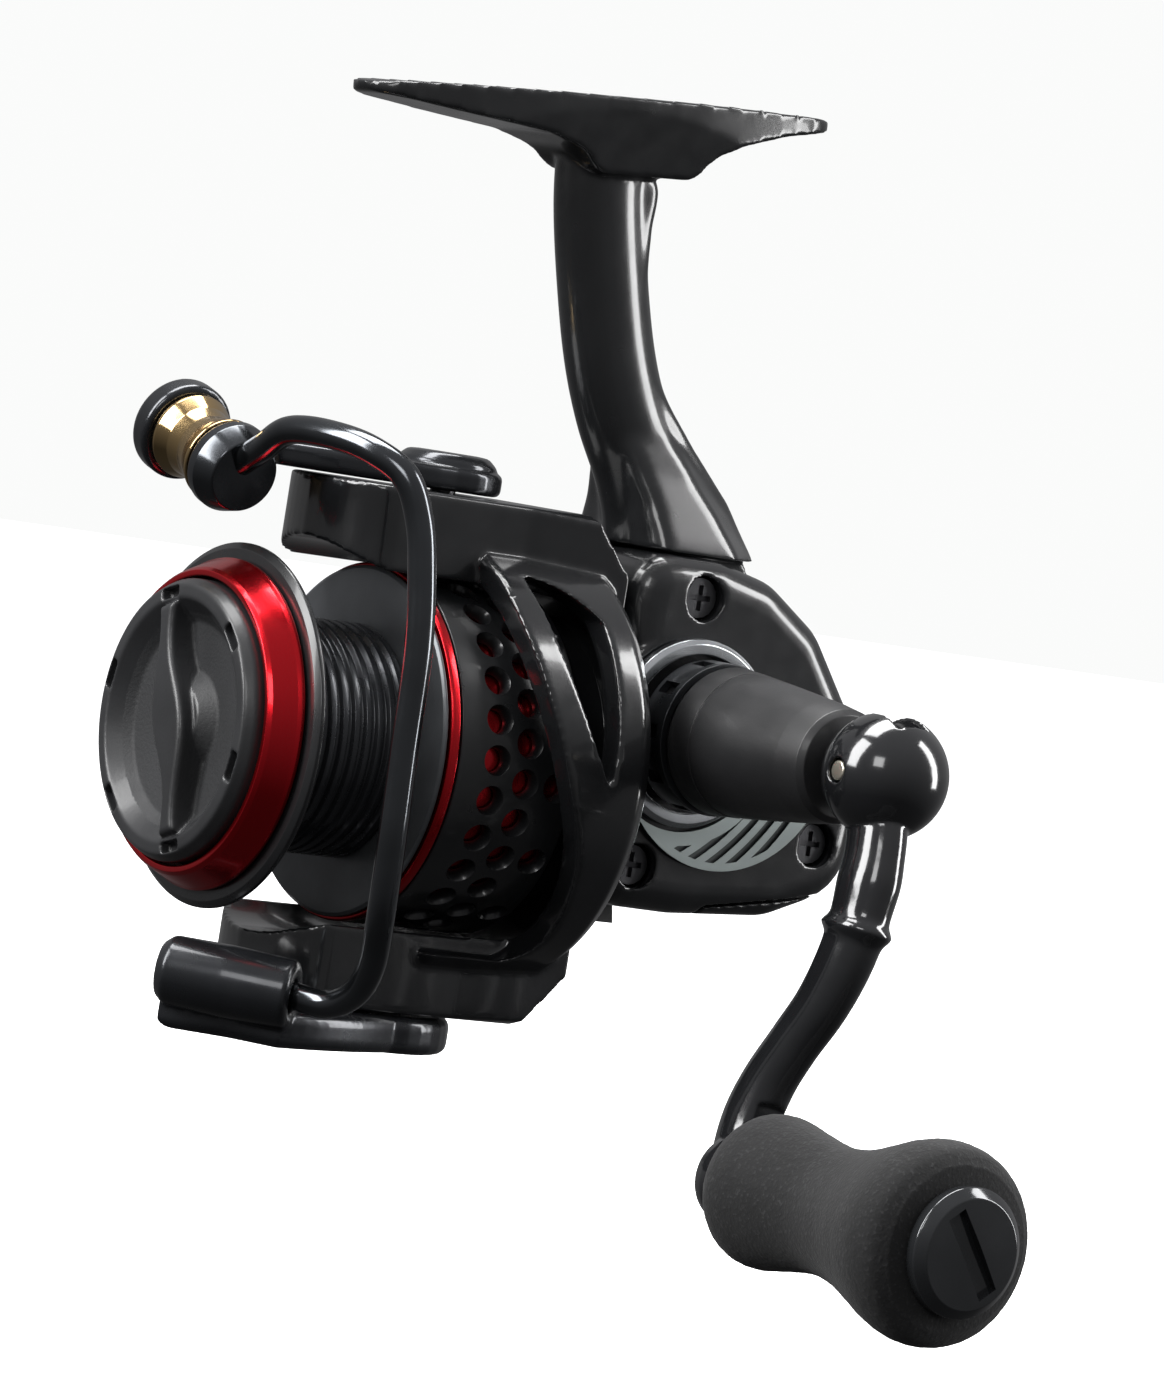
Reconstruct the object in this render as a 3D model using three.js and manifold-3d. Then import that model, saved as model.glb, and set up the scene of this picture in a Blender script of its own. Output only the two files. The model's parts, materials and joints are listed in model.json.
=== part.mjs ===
// Open-face spinning reel for a fishing rod: millimetres, +Z up to the rod foot,
// +Y rearwards along the spool axis, +X towards the handle. The origin is the
// centre of the flat strip on top of the foot.
import * as THREE from 'three';
import * as BufferGeometryUtils from 'three/addons/utils/BufferGeometryUtils.js';
import Module from 'manifold-3d';

const wasm = await Module();
wasm.setup();

// ---- driving dimensions ----
const GAP = 0.3;              // clearance between neighbouring pieces
const SPOOL_Z = -81.7;        // height of the spool axis below the foot
const LIP_R = 22;             // radius of the spool's front flange
const ARBOR_R = 14.3;         // radius the line is wound on
const SPOOL_FRONT = -37.3;    // inner face of the front flange
const SPOOL_BACK = -20.5;     // inner face of the rear flange
const SKIRT_END = -1;         // rear edge of the skirt
const WALL = 1.7;             // skirt wall
const SHAFT_R = 1.5;          // main shaft
const PIVOT_Y = -12;          // bail pivot axis, along Z
const ARM_R = LIP_R + 9.5;    // flat outer faces of the rotor arms
const ARM_HALF = 11;          // half width of a rotor arm
const CRANK_Y = 20.1;         // handle axis, along X
const CRANK_Z = SPOOL_Z + 6.9;
const CRANK_R = 50.6;         // crank radius
const CRANK_BACK = -10.6;      // degrees the arm leans back at rest
const BODY_HALF = 13.5;       // half thickness of the gear housing
const FOOT_FRONT = -33;       // foot ends, along its own length
const FOOT_REAR = 35.75;
const FOOT_HALF = 7.6;        // half width of the foot
const FOOT_TILT = 5;          // degrees between foot and spool axis
const GEAR_OFF = 11.5;        // handle axis to tooth contact, along Y
const GEAR_TEETH = 32;
const PINION_TEETH = 8;
const OSC_MODULE = 0.8333;
const OSC_DRIVE_TEETH = 12;
const OSC_TEETH = 22;
const STROKE = 6.5;           // spool travel
const STROKE_BACK = 5.5;      // part of it that lies behind the rest position

// ---- sizes that follow from them ----
const FLANGE_T = 1.7;
const SKIRT_R = LIP_R - 0.1;
const SKIRT_IN = SKIRT_R - WALL;
const SLEEVE_R = SKIRT_IN - GAP;
const HUB_R = SLEEVE_R - 1.3;
const HUB_IN = HUB_R - 1.4;
const NOSE_R = HUB_IN - 0.7;
const NOSE_IN = NOSE_R - 1.2;
const CAGE_IN = LIP_R + 1.9;
const CAGE_OUT = LIP_R + 5.5;
const FLAT_T = SPOOL_FRONT - FLANGE_T;
const RAD = Math.PI / 180;
const HOLES = 28;             // skirt holes around one row

const group = new THREE.Group();
group.name = 'spinning_reel';

// ---- small helpers ----
const v2 = (pts) => pts.map(([a, b]) => new THREE.Vector2(a, b));
const v3 = (pts) => pts.map(([a, b, c]) => new THREE.Vector3(a, b, c));
const shapeOf = (pts) => new THREE.Shape(v2(pts));

function solid(geometry) {
  const g = new THREE.BufferGeometry();
  g.setAttribute('position', geometry.getAttribute('position').clone());
  if (geometry.index) g.setIndex(geometry.index.clone());
  const m = BufferGeometryUtils.mergeVertices(g, 1e-4);
  const tri = [];
  for (let i = 0; i < m.index.count; i += 3) {
    const a = m.index.getX(i);
    const b = m.index.getX(i + 1);
    const c = m.index.getX(i + 2);
    if (a !== b && b !== c && c !== a) tri.push(a, b, c);
  }
  const mesh = new wasm.Mesh({
    numProp: 3,
    vertProperties: new Float32Array(m.getAttribute('position').array),
    triVerts: new Uint32Array(tri),
  });
  return new wasm.Manifold(mesh);
}

const join = (first, ...rest) => rest.reduce((a, b) => a.add(b), first);
const cut = (first, ...rest) => rest.reduce((a, b) => a.subtract(b), first);

const BASIS = {
  x: new THREE.Matrix4().makeBasis(...v3([[0, 1, 0], [0, 0, 1], [1, 0, 0]])),
  y: new THREE.Matrix4().makeBasis(...v3([[0, 0, 1], [1, 0, 0], [0, 1, 0]])),
  z: new THREE.Matrix4(),
};

// An outline swept along an axis. Outline pairs are (y, z) for x, (z, x) for y
// and (x, y) for z.
function extrude(axis, shape, from, to, bevel = 0, segments = 2) {
  const g = new THREE.ExtrudeGeometry(shape, {
    depth: to - from - 2 * bevel,
    bevelEnabled: bevel > 0,
    bevelThickness: bevel,
    bevelSize: bevel,
    bevelOffset: -bevel,
    bevelSegments: segments,
    curveSegments: 5,
  });
  g.translate(0, 0, from + bevel);
  g.applyMatrix4(BASIS[axis]);
  return solid(g);
}

// A profile of (radius, position) pairs turned about an axis.
function turn(axis, profile, centre, segments = 28) {
  const first = profile[0];
  const last = profile[profile.length - 1];
  const open = first[0] === 0 && last[0] === 0;
  const pts = open ? profile : [...profile, first];
  const g = new THREE.LatheGeometry(v2(pts), segments);
  if (axis === 'x') g.rotateZ(-Math.PI / 2);
  if (axis === 'z') g.rotateX(Math.PI / 2);
  g.translate(...centre);
  return solid(g);
}

function rod(axis, r, from, to, centre, segments = 20) {
  return turn(axis, [[0, from], [r, from], [r, to], [0, to]], centre, segments);
}

function ring(axis, rIn, rOut, from, to, centre, segments = 24) {
  return turn(axis, [[rIn, from], [rOut, from], [rOut, to], [rIn, to]], centre, segments);
}

function box(x0, x1, y0, y1, z0, z1) {
  const g = new THREE.BoxGeometry(x1 - x0, y1 - y0, z1 - z0);
  g.translate((x0 + x1) / 2, (y0 + y1) / 2, (z0 + z1) / 2);
  return solid(g);
}

function ball(r, centre, segments = 20) {
  const arc = [];
  for (let i = 0; i <= segments / 2; i += 1) {
    const a = -Math.PI / 2 + (2 * Math.PI * i) / segments;
    const end = i === 0 || i === segments / 2;
    arc.push([end ? 0 : r * Math.cos(a), r * Math.sin(a)]);
  }
  return turn('z', arc, centre, segments);
}

function tube(points, section, steps) {
  const path = new THREE.CatmullRomCurve3(v3(points), false, 'centripetal');
  return solid(new THREE.ExtrudeGeometry(section, { steps, extrudePath: path }));
}

function ovalSection(a, b, n = 12) {
  const pts = [];
  for (let i = 0; i < n; i += 1) {
    const t = (2 * Math.PI * i) / n;
    pts.push([a * Math.cos(t), b * Math.sin(t)]);
  }
  return shapeOf(pts);
}

function gearShape(teeth, module, bore, addendum = 0.8, width = 0.42) {
  const pitch = (teeth * module) / 2;
  const root = pitch - 0.95 * module;
  const tip = pitch + addendum * module;
  const half = (Math.PI * width) / teeth;
  const pts = [];
  for (let i = 0; i < teeth; i += 1) {
    const t = (2 * Math.PI * i) / teeth;
    const corners = [[root, -1.35], [tip, -0.55], [tip, 0.55], [root, 1.35]];
    for (const [r, k] of corners) {
      pts.push([r * Math.cos(t + k * half), r * Math.sin(t + k * half)]);
    }
  }
  const shape = shapeOf(pts);
  const hole = new THREE.Path();
  hole.absarc(0, 0, bore, 0, 2 * Math.PI, true);
  shape.holes.push(hole);
  return shape;
}

function add(name, body, color, metalness = 0.2, roughness = 0.5) {
  const out = body.getMesh();
  const g = new THREE.BufferGeometry();
  const pos = new Float32Array(out.numVert * 3);
  for (let i = 0; i < out.numVert; i += 1) {
    for (let k = 0; k < 3; k += 1) {
      pos[3 * i + k] = out.vertProperties[i * out.numProp + k];
    }
  }
  g.setAttribute('position', new THREE.BufferAttribute(pos, 3));
  g.setIndex(new THREE.BufferAttribute(new Uint32Array(out.triVerts), 1));
  const material = new THREE.MeshStandardMaterial({ color, metalness, roughness });
  material.name = name;
  const mesh = new THREE.Mesh(g, material);
  mesh.name = name;
  group.add(mesh);
}

const AXIS = [0, 0, SPOOL_Z];
const CRANK = [0, CRANK_Y, CRANK_Z];
const half = (m) => m.rotate([0, 180, 0]);
// half a turn about the spool axis
const opposite = (m) => half(m.translate([0, 0, -SPOOL_Z])).translate([0, 0, SPOOL_Z]);

// ---- outlines of the housing, as (y, z) ----
const BODY_FRONT = 10.2;
const PLATE_R = HUB_IN + 1.5;
const BOSS_R = 12.4;
const BODY_LOW = SPOOL_Z - 15.6;
const BODY_REAR = CRANK_Y + 30.4;
const bodyOutline = [
  [BODY_FRONT, BODY_LOW],
  [CRANK_Y + 4, BODY_LOW - 0.3],
  [BODY_REAR - 12, BODY_LOW + 0.6],
  [BODY_REAR - 1, BODY_LOW + 5],
  [BODY_REAR, CRANK_Z - 5],
  [BODY_REAR - 4, CRANK_Z + 5.2],
  [BODY_REAR - 11, CRANK_Z + 14.4],
  [BODY_REAR - 19, CRANK_Z + 19.6],
  [BODY_REAR - 27, CRANK_Z + 21.4],
  [BODY_FRONT, CRANK_Z + 21.4],
];

function inset(points, d) {
  const n = points.length;
  return points.map((p, i) => {
    const a = points[(i + n - 1) % n];
    const b = points[(i + 1) % n];
    const u = new THREE.Vector2(p[0] - a[0], p[1] - a[1]).normalize();
    const w = new THREE.Vector2(b[0] - p[0], b[1] - p[1]).normalize();
    const m = new THREE.Vector2(-u.y - w.y, u.x + w.x).normalize();
    const k = d / Math.max(0.3, m.x * -w.y + m.y * w.x);
    return [p[0] + m.x * k, p[1] + m.y * k];
  });
}

const bodyWhole = extrude('x', shapeOf(bodyOutline), -BODY_HALF, BODY_HALF, 4, 3);
const cavity = extrude('x', shapeOf(inset(bodyOutline, 2)), -BODY_HALF + 2, BODY_HALF - 2, 2, 1);
const lowLine = [
  [CRANK_Y + 8, BODY_LOW - 5],
  [BODY_REAR + 5, BODY_LOW - 5],
  [BODY_REAR + 5, BODY_LOW + 5.2],
  [BODY_REAR - 3, BODY_LOW + 4.2],
  [CRANK_Y + 8, BODY_LOW + 1.1],
];
const lowZone = extrude('x', shapeOf(lowLine), -20, 20);
const lowShell = extrude('x', shapeOf(inset(lowLine, -GAP)), -20, 20);

const SCREWS = [
  [CRANK_Y, CRANK_Z + 16.6],
  [CRANK_Y - 4, BODY_LOW + 5.4],
  [BODY_REAR - 7.5, BODY_LOW + 10.5],
];
const LEVER_Y = CRANK_Y + 5.5;
const LEVER_X = -7;
const OSC_D = ((OSC_TEETH + OSC_DRIVE_TEETH) * OSC_MODULE) / 2;
const OSC = [0, CRANK_Y + OSC_D * Math.cos(15 * RAD), CRANK_Z - OSC_D * Math.sin(15 * RAD)];
const GUIDE_Z = SPOOL_Z - 8.8;
const SLIDER_Y = OSC[1] - STROKE_BACK + STROKE / 2;
const CONTACT_R = Math.hypot(GEAR_OFF, CRANK_Z - SPOOL_Z);
const RATIO = GEAR_TEETH / PINION_TEETH;
const PINION_P = GEAR_OFF / RATIO;

// ---- foot, stem and left housing ----
function footBody() {
  const w = FOOT_HALF;
  const section = shapeOf([
    [-w, 0.9], [-w, -0.6], [-w * 0.72, -9], [w * 0.72, -9], [w, -0.6], [w, 0.9],
    [w * 0.7, 0.35], [w * 0.37, 0], [-w * 0.37, 0], [-w * 0.7, 0.35],
  ].map(([x, z]) => [z, x]).reverse());
  const bar = extrude('y', section, FOOT_FRONT - 1, FOOT_REAR + 1);
  const side = shapeOf([
    [FOOT_FRONT, 2], [FOOT_FRONT, -1.3], [FOOT_FRONT + 12, -2.9],
    [-9, -4.4], [-3.5, -6.2], [-1.2, -8.8], [13.5, -8.8], [15.5, -6],
    [20, -4], [FOOT_REAR - 9, -2.4], [FOOT_REAR, -1.2], [FOOT_REAR, 2],
  ].reverse());
  const plan = new THREE.Shape();
  const tip = w * 0.72;
  plan.moveTo(-tip, FOOT_FRONT + tip);
  plan.absarc(0, FOOT_FRONT + tip, tip, Math.PI, 2 * Math.PI, false);
  plan.quadraticCurveTo(w, -12, w, 2);
  plan.quadraticCurveTo(w, 16, tip, FOOT_REAR - tip);
  plan.absarc(0, FOOT_REAR - tip, tip, 0, Math.PI, false);
  plan.quadraticCurveTo(-w, 16, -w, 2);
  plan.quadraticCurveTo(-w, -12, -tip, FOOT_FRONT + tip);
  const whole = bar.intersect(extrude('x', side, -20, 20)).intersect(extrude('z', plan, -12, 3));
  return whole.rotate([FOOT_TILT, 0, 0]);
}

function stemBody() {
  const top = CRANK_Z + 24;
  const web = shapeOf([
    [-1, -7.5], [0.4, -14], [2.6, -21.5], [5.2, -31], [7.6, -36.4],
    [10.6, -41.4], [13.4, -46], [BODY_FRONT + 3.4, top], [BODY_FRONT + 3, top - 6],
    [BODY_REAR - 8, CRANK_Z + 9], [BODY_REAR - 14.5, top - 4.5],
    [29.1, -46.2], [22.8, -40.3], [18.4, -35.8], [15, -32], [12.6, -27],
    [11.5, -21.5], [11, -14], [11.4, -7.5],
  ].reverse());
  const rib = extrude('x', web, -3.4, 3.4, 1, 1);
  const front = tube([
    [0, 3.4, -6], [0, 4.2, -12], [0, 6.4, -21], [0, 9.4, -30.5], [0, 12.4, -37],
    [0, 16.4, -43.5], [0, 19, -50], [0, 19.5, -57],
  ], ovalSection(4.4, 6.2), 12);
  return join(rib, front, shoulder());
}

// flank that widens from the stem into the housing: height, front, rear, half width
function shoulder() {
  const levels = [
    [-36, 8.5, 18.2, 3.2], [-40, 10.4, 22.4, 4.4], [-44, 12.2, 26.6, 6], [-48, 13.6, 30.5, 7.9],
    [-52, 14.2, 34, 9.8], [-55, 14.2, 36, 11], [-60, 14.2, 39, 11.8],
  ];
  const pos = [];
  for (const [z, front, rear, w] of levels) {
    const ridge = front + 0.6 * (rear - front);
    const right = [[w * 0.8, front], [w, front + 1.5], [w, ridge], [2.2, rear]];
    const left = right.map(([x, y]) => [-x, y]).reverse();
    for (const [x, y] of [...right, ...left]) pos.push(x, y, z);
  }
  const tri = [];
  for (let k = 0; k + 1 < levels.length; k += 1) {
    for (let i = 0; i < 8; i += 1) {
      const j = (i + 1) % 8;
      tri.push(k * 8 + i, k * 8 + 8 + i, k * 8 + j, k * 8 + j, k * 8 + 8 + i, k * 8 + 8 + j);
    }
  }
  const end = (levels.length - 1) * 8;
  for (let i = 1; i < 7; i += 1) tri.push(0, i, i + 1, end, end + i + 1, end + i);
  const g = new THREE.BufferGeometry();
  g.setAttribute('position', new THREE.Float32BufferAttribute(pos, 3));
  g.setIndex(tri);
  return solid(g);
}

function noseBody() {
  return turn('y', [
    [NOSE_IN, 0.6], [5.4, 0.6], [5.4, -1], [NOSE_R - 0.8, -1], [NOSE_R, -0.2],
    [NOSE_R, 7.2], [PLATE_R, 7.2], [PLATE_R, BODY_FRONT + 1], [NOSE_IN, BODY_FRONT + 1],
  ], AXIS, 32);
}

function screwCuts() {
  return join(...SCREWS.map(([y, z]) => join(
    rod('x', 1.1 + GAP, -6, 12.8, [0, y, z], 12),
    rod('x', 2.5 + GAP, 10.4, 14, [0, y, z], 16),
  )));
}

function leverSlot() {
  return box(LEVER_X - 2.6, LEVER_X + 4.8, LEVER_Y - 2, LEVER_Y + 2, BODY_LOW - 3, BODY_LOW + 3.2);
}

function reelFrame() {
  const left = bodyWhole.intersect(box(-30, 0, -30, 80, -130, -20));
  const seat = ring('x', 5.6 + GAP, 8, -BODY_HALF + 1, -8.4, CRANK);
  const stud = rod('x', 1.8, -BODY_HALF + 1, -3.9, OSC, 16);
  const lug = box(-BODY_HALF + 1, 0, CRANK_Y - 0.8, CRANK_Y + 2, GUIDE_Z - 2.4, GUIDE_Z + 2.2);
  const posts = SCREWS.map(([y, z]) => rod('x', 2.6, -BODY_HALF + 1, 0, [0, y, z], 12));
  const shell = join(cut(left, cavity), seat, stud, lug, ...posts);
  const whole = join(shell, noseBody(), cut(stemBody(), cavity), footBody());
  const coverSide = box(0, 30, BODY_FRONT - GAP, 80, -130, CRANK_Z + 21.4 + GAP);
  return cut(whole, coverSide, coverClear(), screwCuts(), guideCut(), leverSlot(), lowShell,
    tunnels());
}

function coverBoss() {
  return rod('x', BOSS_R, 7.6, BODY_HALF, CRANK, 32);
}

function guideCut() {
  return rod('y', 1.2 + GAP, CRANK_Y - 2, BODY_REAR - 3.4, [0, 0, GUIDE_Z], 12);
}

function coverClear() {
  return rod('x', BOSS_R + GAP, 7.3, 20, CRANK, 32);
}

// runs of the gears and the clutch through the front wall
function tunnels() {
  return join(
    rod('y', NOSE_IN, 0.6, BODY_FRONT + 2.5, AXIS, 32),
    rod('x', CONTACT_R + 1.8, 2, 7.6, CRANK, 32),
  );
}

function sideCover() {
  const wall = bodyWhole.intersect(box(GAP, 30, -30, 80, -130, -20));
  const port = rod('x', 8.6, 8, 20, CRANK, 24);
  const seat = ring('x', 5.6 + GAP, 9.4, 9, BODY_HALF, CRANK);
  const posts = SCREWS.map(([y, z]) => join(
    rod('x', 2.6, GAP, BODY_HALF - 0.5, [0, y, z], 12),
    rod('x', 3.6, 8, BODY_HALF - 0.5, [0, y, z], 14),
  ).intersect(bodyWhole));
  const boss = coverBoss().subtract(rod('x', BOSS_R - 2, 5, BODY_HALF - 2, CRANK, 24));
  const shell = join(cut(wall, cavity), boss, ...posts);
  return cut(join(cut(shell, port), seat), screwCuts(), guideCut(), lowShell, tunnels());
}

function rearCover() {
  const grown = bodyWhole.intersect(lowZone);
  return cut(grown, extrude('x', shapeOf(inset(bodyOutline, 2.2)), -BODY_HALF + 2.2,
    BODY_HALF - 2.2, 1.8, 1));
}

function coverRing() {
  return turn('x', [
    [9.8, BODY_HALF + GAP], [11.7, BODY_HALF + GAP], [11.7, BODY_HALF + 1.5],
    [11.1, BODY_HALF + 2.1], [9.8, BODY_HALF + 2.1],
  ], CRANK, 32);
}

function sideBadge() {
  const x0 = BODY_HALF + GAP;
  const disc = rod('x', 16.2, x0, x0 + 0.6, [0, CRANK_Y + 6.5, CRANK_Z - 0.4], 44);
  const upper = box(x0 - 1, x0 + 2, CRANK_Y - 20, CRANK_Y + 30, CRANK_Z - 2, CRANK_Z + 30);
  return cut(disc, rod('x', 12.3, x0 - 1, x0 + 2, CRANK, 32), upper);
}

function coverScrew(y, z) {
  const head = rod('x', 2.5, 10.7, 12, [0, y, z], 16);
  const shank = rod('x', 1.1, -5, 11, [0, y, z], 12);
  const slot = join(
    box(11.4, 13, y - 1.6, y + 1.6, z - 0.35, z + 0.35),
    box(11.4, 13, y - 0.35, y + 0.35, z - 1.6, z + 1.6),
  );
  return cut(join(head, shank), slot);
}

function bearing(axis, rIn, rOut, from, to, centre) {
  const mid = (rIn + rOut) / 2;
  return turn(axis, [
    [rIn, from], [mid, from + 0.3], [rOut, from], [rOut, to], [mid, to - 0.3], [rIn, to],
  ], centre, 16);
}

add('reel_frame', reelFrame(), 0x1c1d1f);
add('side_cover', sideCover(), 0x1c1d1f);
add('rear_cover', rearCover(), 0x18191b);
add('cover_ring', coverRing(), 0xc8ccd0, 0.9, 0.25);
add('side_badge', sideBadge(), 0x8d968f, 0.8, 0.45);
SCREWS.forEach(([y, z], i) => add(`cover_screw_${i + 1}`, coverScrew(y, z), 0x55585c, 0.9, 0.35));
add('right_gear_bearing', bearing('x', 3.6, 5.6, 9.6, 12.4, CRANK), 0xb8bcc0, 0.9, 0.3);
add('left_gear_bearing', bearing('x', 3.6, 5.6, -11.2, -8.8, CRANK), 0xb8bcc0, 0.9, 0.3);
add('one_way_clutch', bearing('y', 4.0, NOSE_IN - 0.4, 0.9, 3.3, AXIS), 0x9fa3a8, 0.9, 0.35);
add('bearing_plate', ring('y', 7.8, NOSE_IN - 0.4, 3.6, 5.5, AXIS, 32), 0x44474a);
add('pinion_bearing', bearing('y', 3.8, 7.5, 3.6, 5.5, AXIS), 0xb8bcc0, 0.9, 0.3);
const guideRod = rod('y', 1.2, CRANK_Y - 0.6, BODY_REAR - 3.8, [0, 0, GUIDE_Z], 12);
add('slider_guide_rod', guideRod, 0xb0b4b8, 0.9, 0.3);

// ---- crank: gear shaft, gears and folding boss ----
const FACE_X = PINION_P + 0.12;
const BOSS_END = 46.3;
const HEAD = [54, CRANK_Y, CRANK_Z];

function driveGear() {
  const rIn = CONTACT_R - 1.1;
  const rOut = CONTACT_R + 0.9;
  const disc = turn('x', [
    [3.6, 4.0], [5.5, 4.0], [5.9, 5.2], [rIn - 1.4, 5.2], [rIn - 0.6, 4.3], [rOut, 4.3],
    [rOut, 6.4], [rIn - 1, 6.8], [3.6, 6.8],
  ], CRANK, 24);
  const teeth = [];
  const phase = Math.atan2(SPOOL_Z - CRANK_Z, -GEAR_OFF) / RAD + 180 / GEAR_TEETH;
  for (let i = 0; i < GEAR_TEETH; i += 1) {
    const bar = solid(new THREE.BoxGeometry(4.5 - FACE_X, rOut - rIn, 0.6))
      .translate([(4.5 + FACE_X) / 2, (rOut + rIn) / 2, 0])
      .rotate([phase + (360 * i) / GEAR_TEETH, 0, 0])
      .translate(CRANK);
    teeth.push(bar);
  }
  return join(disc, ...teeth);
}

function gearShaft() {
  return turn('x', [
    [0, -11.4], [3.3, -11.4], [3.3, -7.5], [3.3, 19.4], [2.8, 20], [0, 20],
  ], CRANK, 20);
}

function spurX(teeth, bore, from, to, centre, turnDeg) {
  const g = extrude('x', gearShape(teeth, OSC_MODULE, bore), from, to);
  return g.rotate([turnDeg, 0, 0]).translate(centre);
}

function handleBoss() {
  const cone = turn('x', bossProfile(), CRANK, 24);
  const tongue = extrude('y', tongueShape(3.4), -2, 2).translate([0, CRANK_Y, 0]);
  return cut(join(cone, tongue), rod('y', 1.2 + GAP, -4, 4, HEAD, 12));
}

function bossProfile() {
  return [
    [0, 20.3], [3.3 + GAP, 20.3], [3.3 + GAP, 16.4], [8.2, 16.4], [8.2, 21.8],
    [9.16, 22.6], [8.4, 32], [7.4, 42], [6.88, BOSS_END - 0.8], [6.2, BOSS_END], [0, BOSS_END],
  ];
}

// outline in (z, x)
function tongueShape(r) {
  const s = new THREE.Shape();
  s.moveTo(HEAD[2] - r, BOSS_END - 1);
  s.lineTo(HEAD[2] - r, HEAD[0]);
  s.absarc(HEAD[2], HEAD[0], r, Math.PI, 0, true);
  s.lineTo(HEAD[2] + r, BOSS_END - 1);
  s.closePath();
  return s;
}

add('drive_gear', driveGear(), 0xb89a55, 0.9, 0.35);
add('gear_shaft', gearShaft(), 0xb0b4b8, 0.9, 0.3);
add('oscillation_pinion', spurX(OSC_DRIVE_TEETH, 3.6, -7, -4.2, CRANK, -15), 0xb89a55, 0.9, 0.35);
add('handle_boss', handleBoss(), 0x202123);
add('boss_collar', ring('x', 8.5, 9.4, 16.8, 21.4, CRANK, 32), 0x2b2d30, 0.6, 0.4);
add('fold_pin', rod('y', 1.2, -7.2, 7.2, HEAD, 16), 0xd8d2c0, 0.9, 0.3);

// ---- oscillation gear ----
function oscillationGear() {
  const lead = 180 - 15 + 180 / OSC_TEETH;
  const g = spurX(OSC_TEETH, 2.1, -7, -4.2, OSC, lead);
  const a = Math.acos((SLIDER_Y - OSC[1]) / (STROKE / 2));
  const pin = [0, OSC[1] + (STROKE / 2) * Math.cos(a), OSC[2] + (STROKE / 2) * Math.sin(a)];
  return g.add(rod('x', 1.3, -5, -3.7, pin, 14));
}
add('oscillation_gear', oscillationGear(), 0xe0e0d8, 0.1, 0.5);

// ---- folding handle ----
const ARM_DIR = [Math.sin(CRANK_BACK * RAD), -Math.cos(CRANK_BACK * RAD)];
const KNOB = [0, CRANK_Y + CRANK_R * ARM_DIR[0], CRANK_Z + CRANK_R * ARM_DIR[1]];
const onArm = (x, d) => [x, CRANK_Y + d * ARM_DIR[0], CRANK_Z + d * ARM_DIR[1]];
const ARM_X = 50.5;           // where the knob's shaft leaves the arm

function handleArm() {
  const head = ball(7.6, HEAD, 16);
  const clear = join(
    extrude('y', tongueShape(4), -2 - GAP, 2 + GAP).translate([0, CRANK_Y, 0]),
    rod('y', 4, -2 - GAP, 2 + GAP, HEAD, 24),
    box(HEAD[0] - 12, HEAD[0], CRANK_Y - 2 - GAP, CRANK_Y + 2 + GAP, CRANK_Z - 4, CRANK_Z + 12),
    box(HEAD[0] - 12, HEAD[0] + 4, CRANK_Y - 2 - GAP, CRANK_Y + 2 + GAP, CRANK_Z, CRANK_Z + 12),
  );
  const neck = tube([
    onArm(HEAD[0] + 0.8, 4), onArm(HEAD[0] + 2.5, 9), onArm(HEAD[0] + 3.3, 14),
    onArm(HEAD[0] + 3.4, 21), onArm(ARM_X + 5.2, 27.6), onArm(ARM_X + 2.2, 33.4),
    onArm(ARM_X - 0.1, 38.4), onArm(ARM_X - 1.2, 43.6), onArm(ARM_X - 0.4, CRANK_R + 0.4),
  ], ovalSection(3.3, 4.3, 10), 14);
  const eye = turn('x', [
    [0, ARM_X - 4.2], [3.4, ARM_X - 3.6], [5.2, ARM_X - 1.6], [5.6, ARM_X],
    [5.6, ARM_X + 2], [0, ARM_X + 2],
  ], KNOB, 24);
  const shaftHole = rod('x', 1.6 + GAP, ARM_X, ARM_X + 4, KNOB, 16);
  const front = rod('x', 9.7, ARM_X + 2, ARM_X + 9, KNOB, 24);
  return cut(join(cut(head, clear), cut(neck, clear, front), eye), shaftHole,
    rod('y', 1.2 + GAP, -9, 9, HEAD, 12));
}

function knobShaft() {
  return turn('x', [
    [0, ARM_X + GAP], [1.6, ARM_X + GAP], [1.6, ARM_X + 39.5], [2.6, ARM_X + 39.5],
    [2.6, ARM_X + 40.7], [0, ARM_X + 40.7],
  ], KNOB, 16);
}

function knobGrip() {
  const c = 1.6 + GAP;
  const outline = [
    [c, 2.4], [4.6, 2.4], [7.4, 3.4], [8.9, 5.4], [9.23, 7.5], [8.7, 11], [7.9, 16],
    [7.7, 20], [8.5, 25.5], [10.2, 31], [11.5, 35], [11.9, 37.8], [11.3, 40.4],
    [9.6, 41.8], [6.6, 41.8], [6.6, 38.6], [c, 38.6],
  ];
  return turn('x', outline.map(([r, x]) => [r, ARM_X + x]), KNOB, 20);
}

function knobCap() {
  const outline = [
    [6.2, 39], [6.2, 42.1], [7.57, 42.1], [7.57, 43.6], [6.4, 44.7], [0, 44.9],
    [0, 42.4], [3.4, 42.4], [3.4, 39],
  ];
  const cap = turn('x', outline.map(([r, x]) => [r, ARM_X + x]), KNOB, 24);
  const slot = box(ARM_X + 44, ARM_X + 46, -5, 5, -1.2, 1.2);
  return cut(cap, slot.rotate([35, 0, 0]).translate([0, KNOB[1], KNOB[2]]));
}

add('handle_arm', handleArm(), 0x26282b, 0.4, 0.3);
add('knob_shaft', knobShaft(), 0xb0b4b8, 0.9, 0.3);
add('knob_grip', knobGrip(), 0x2a2b2c, 0, 0.9);
add('knob_cap', knobCap(), 0x1d1e20, 0.2, 0.3);

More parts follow.
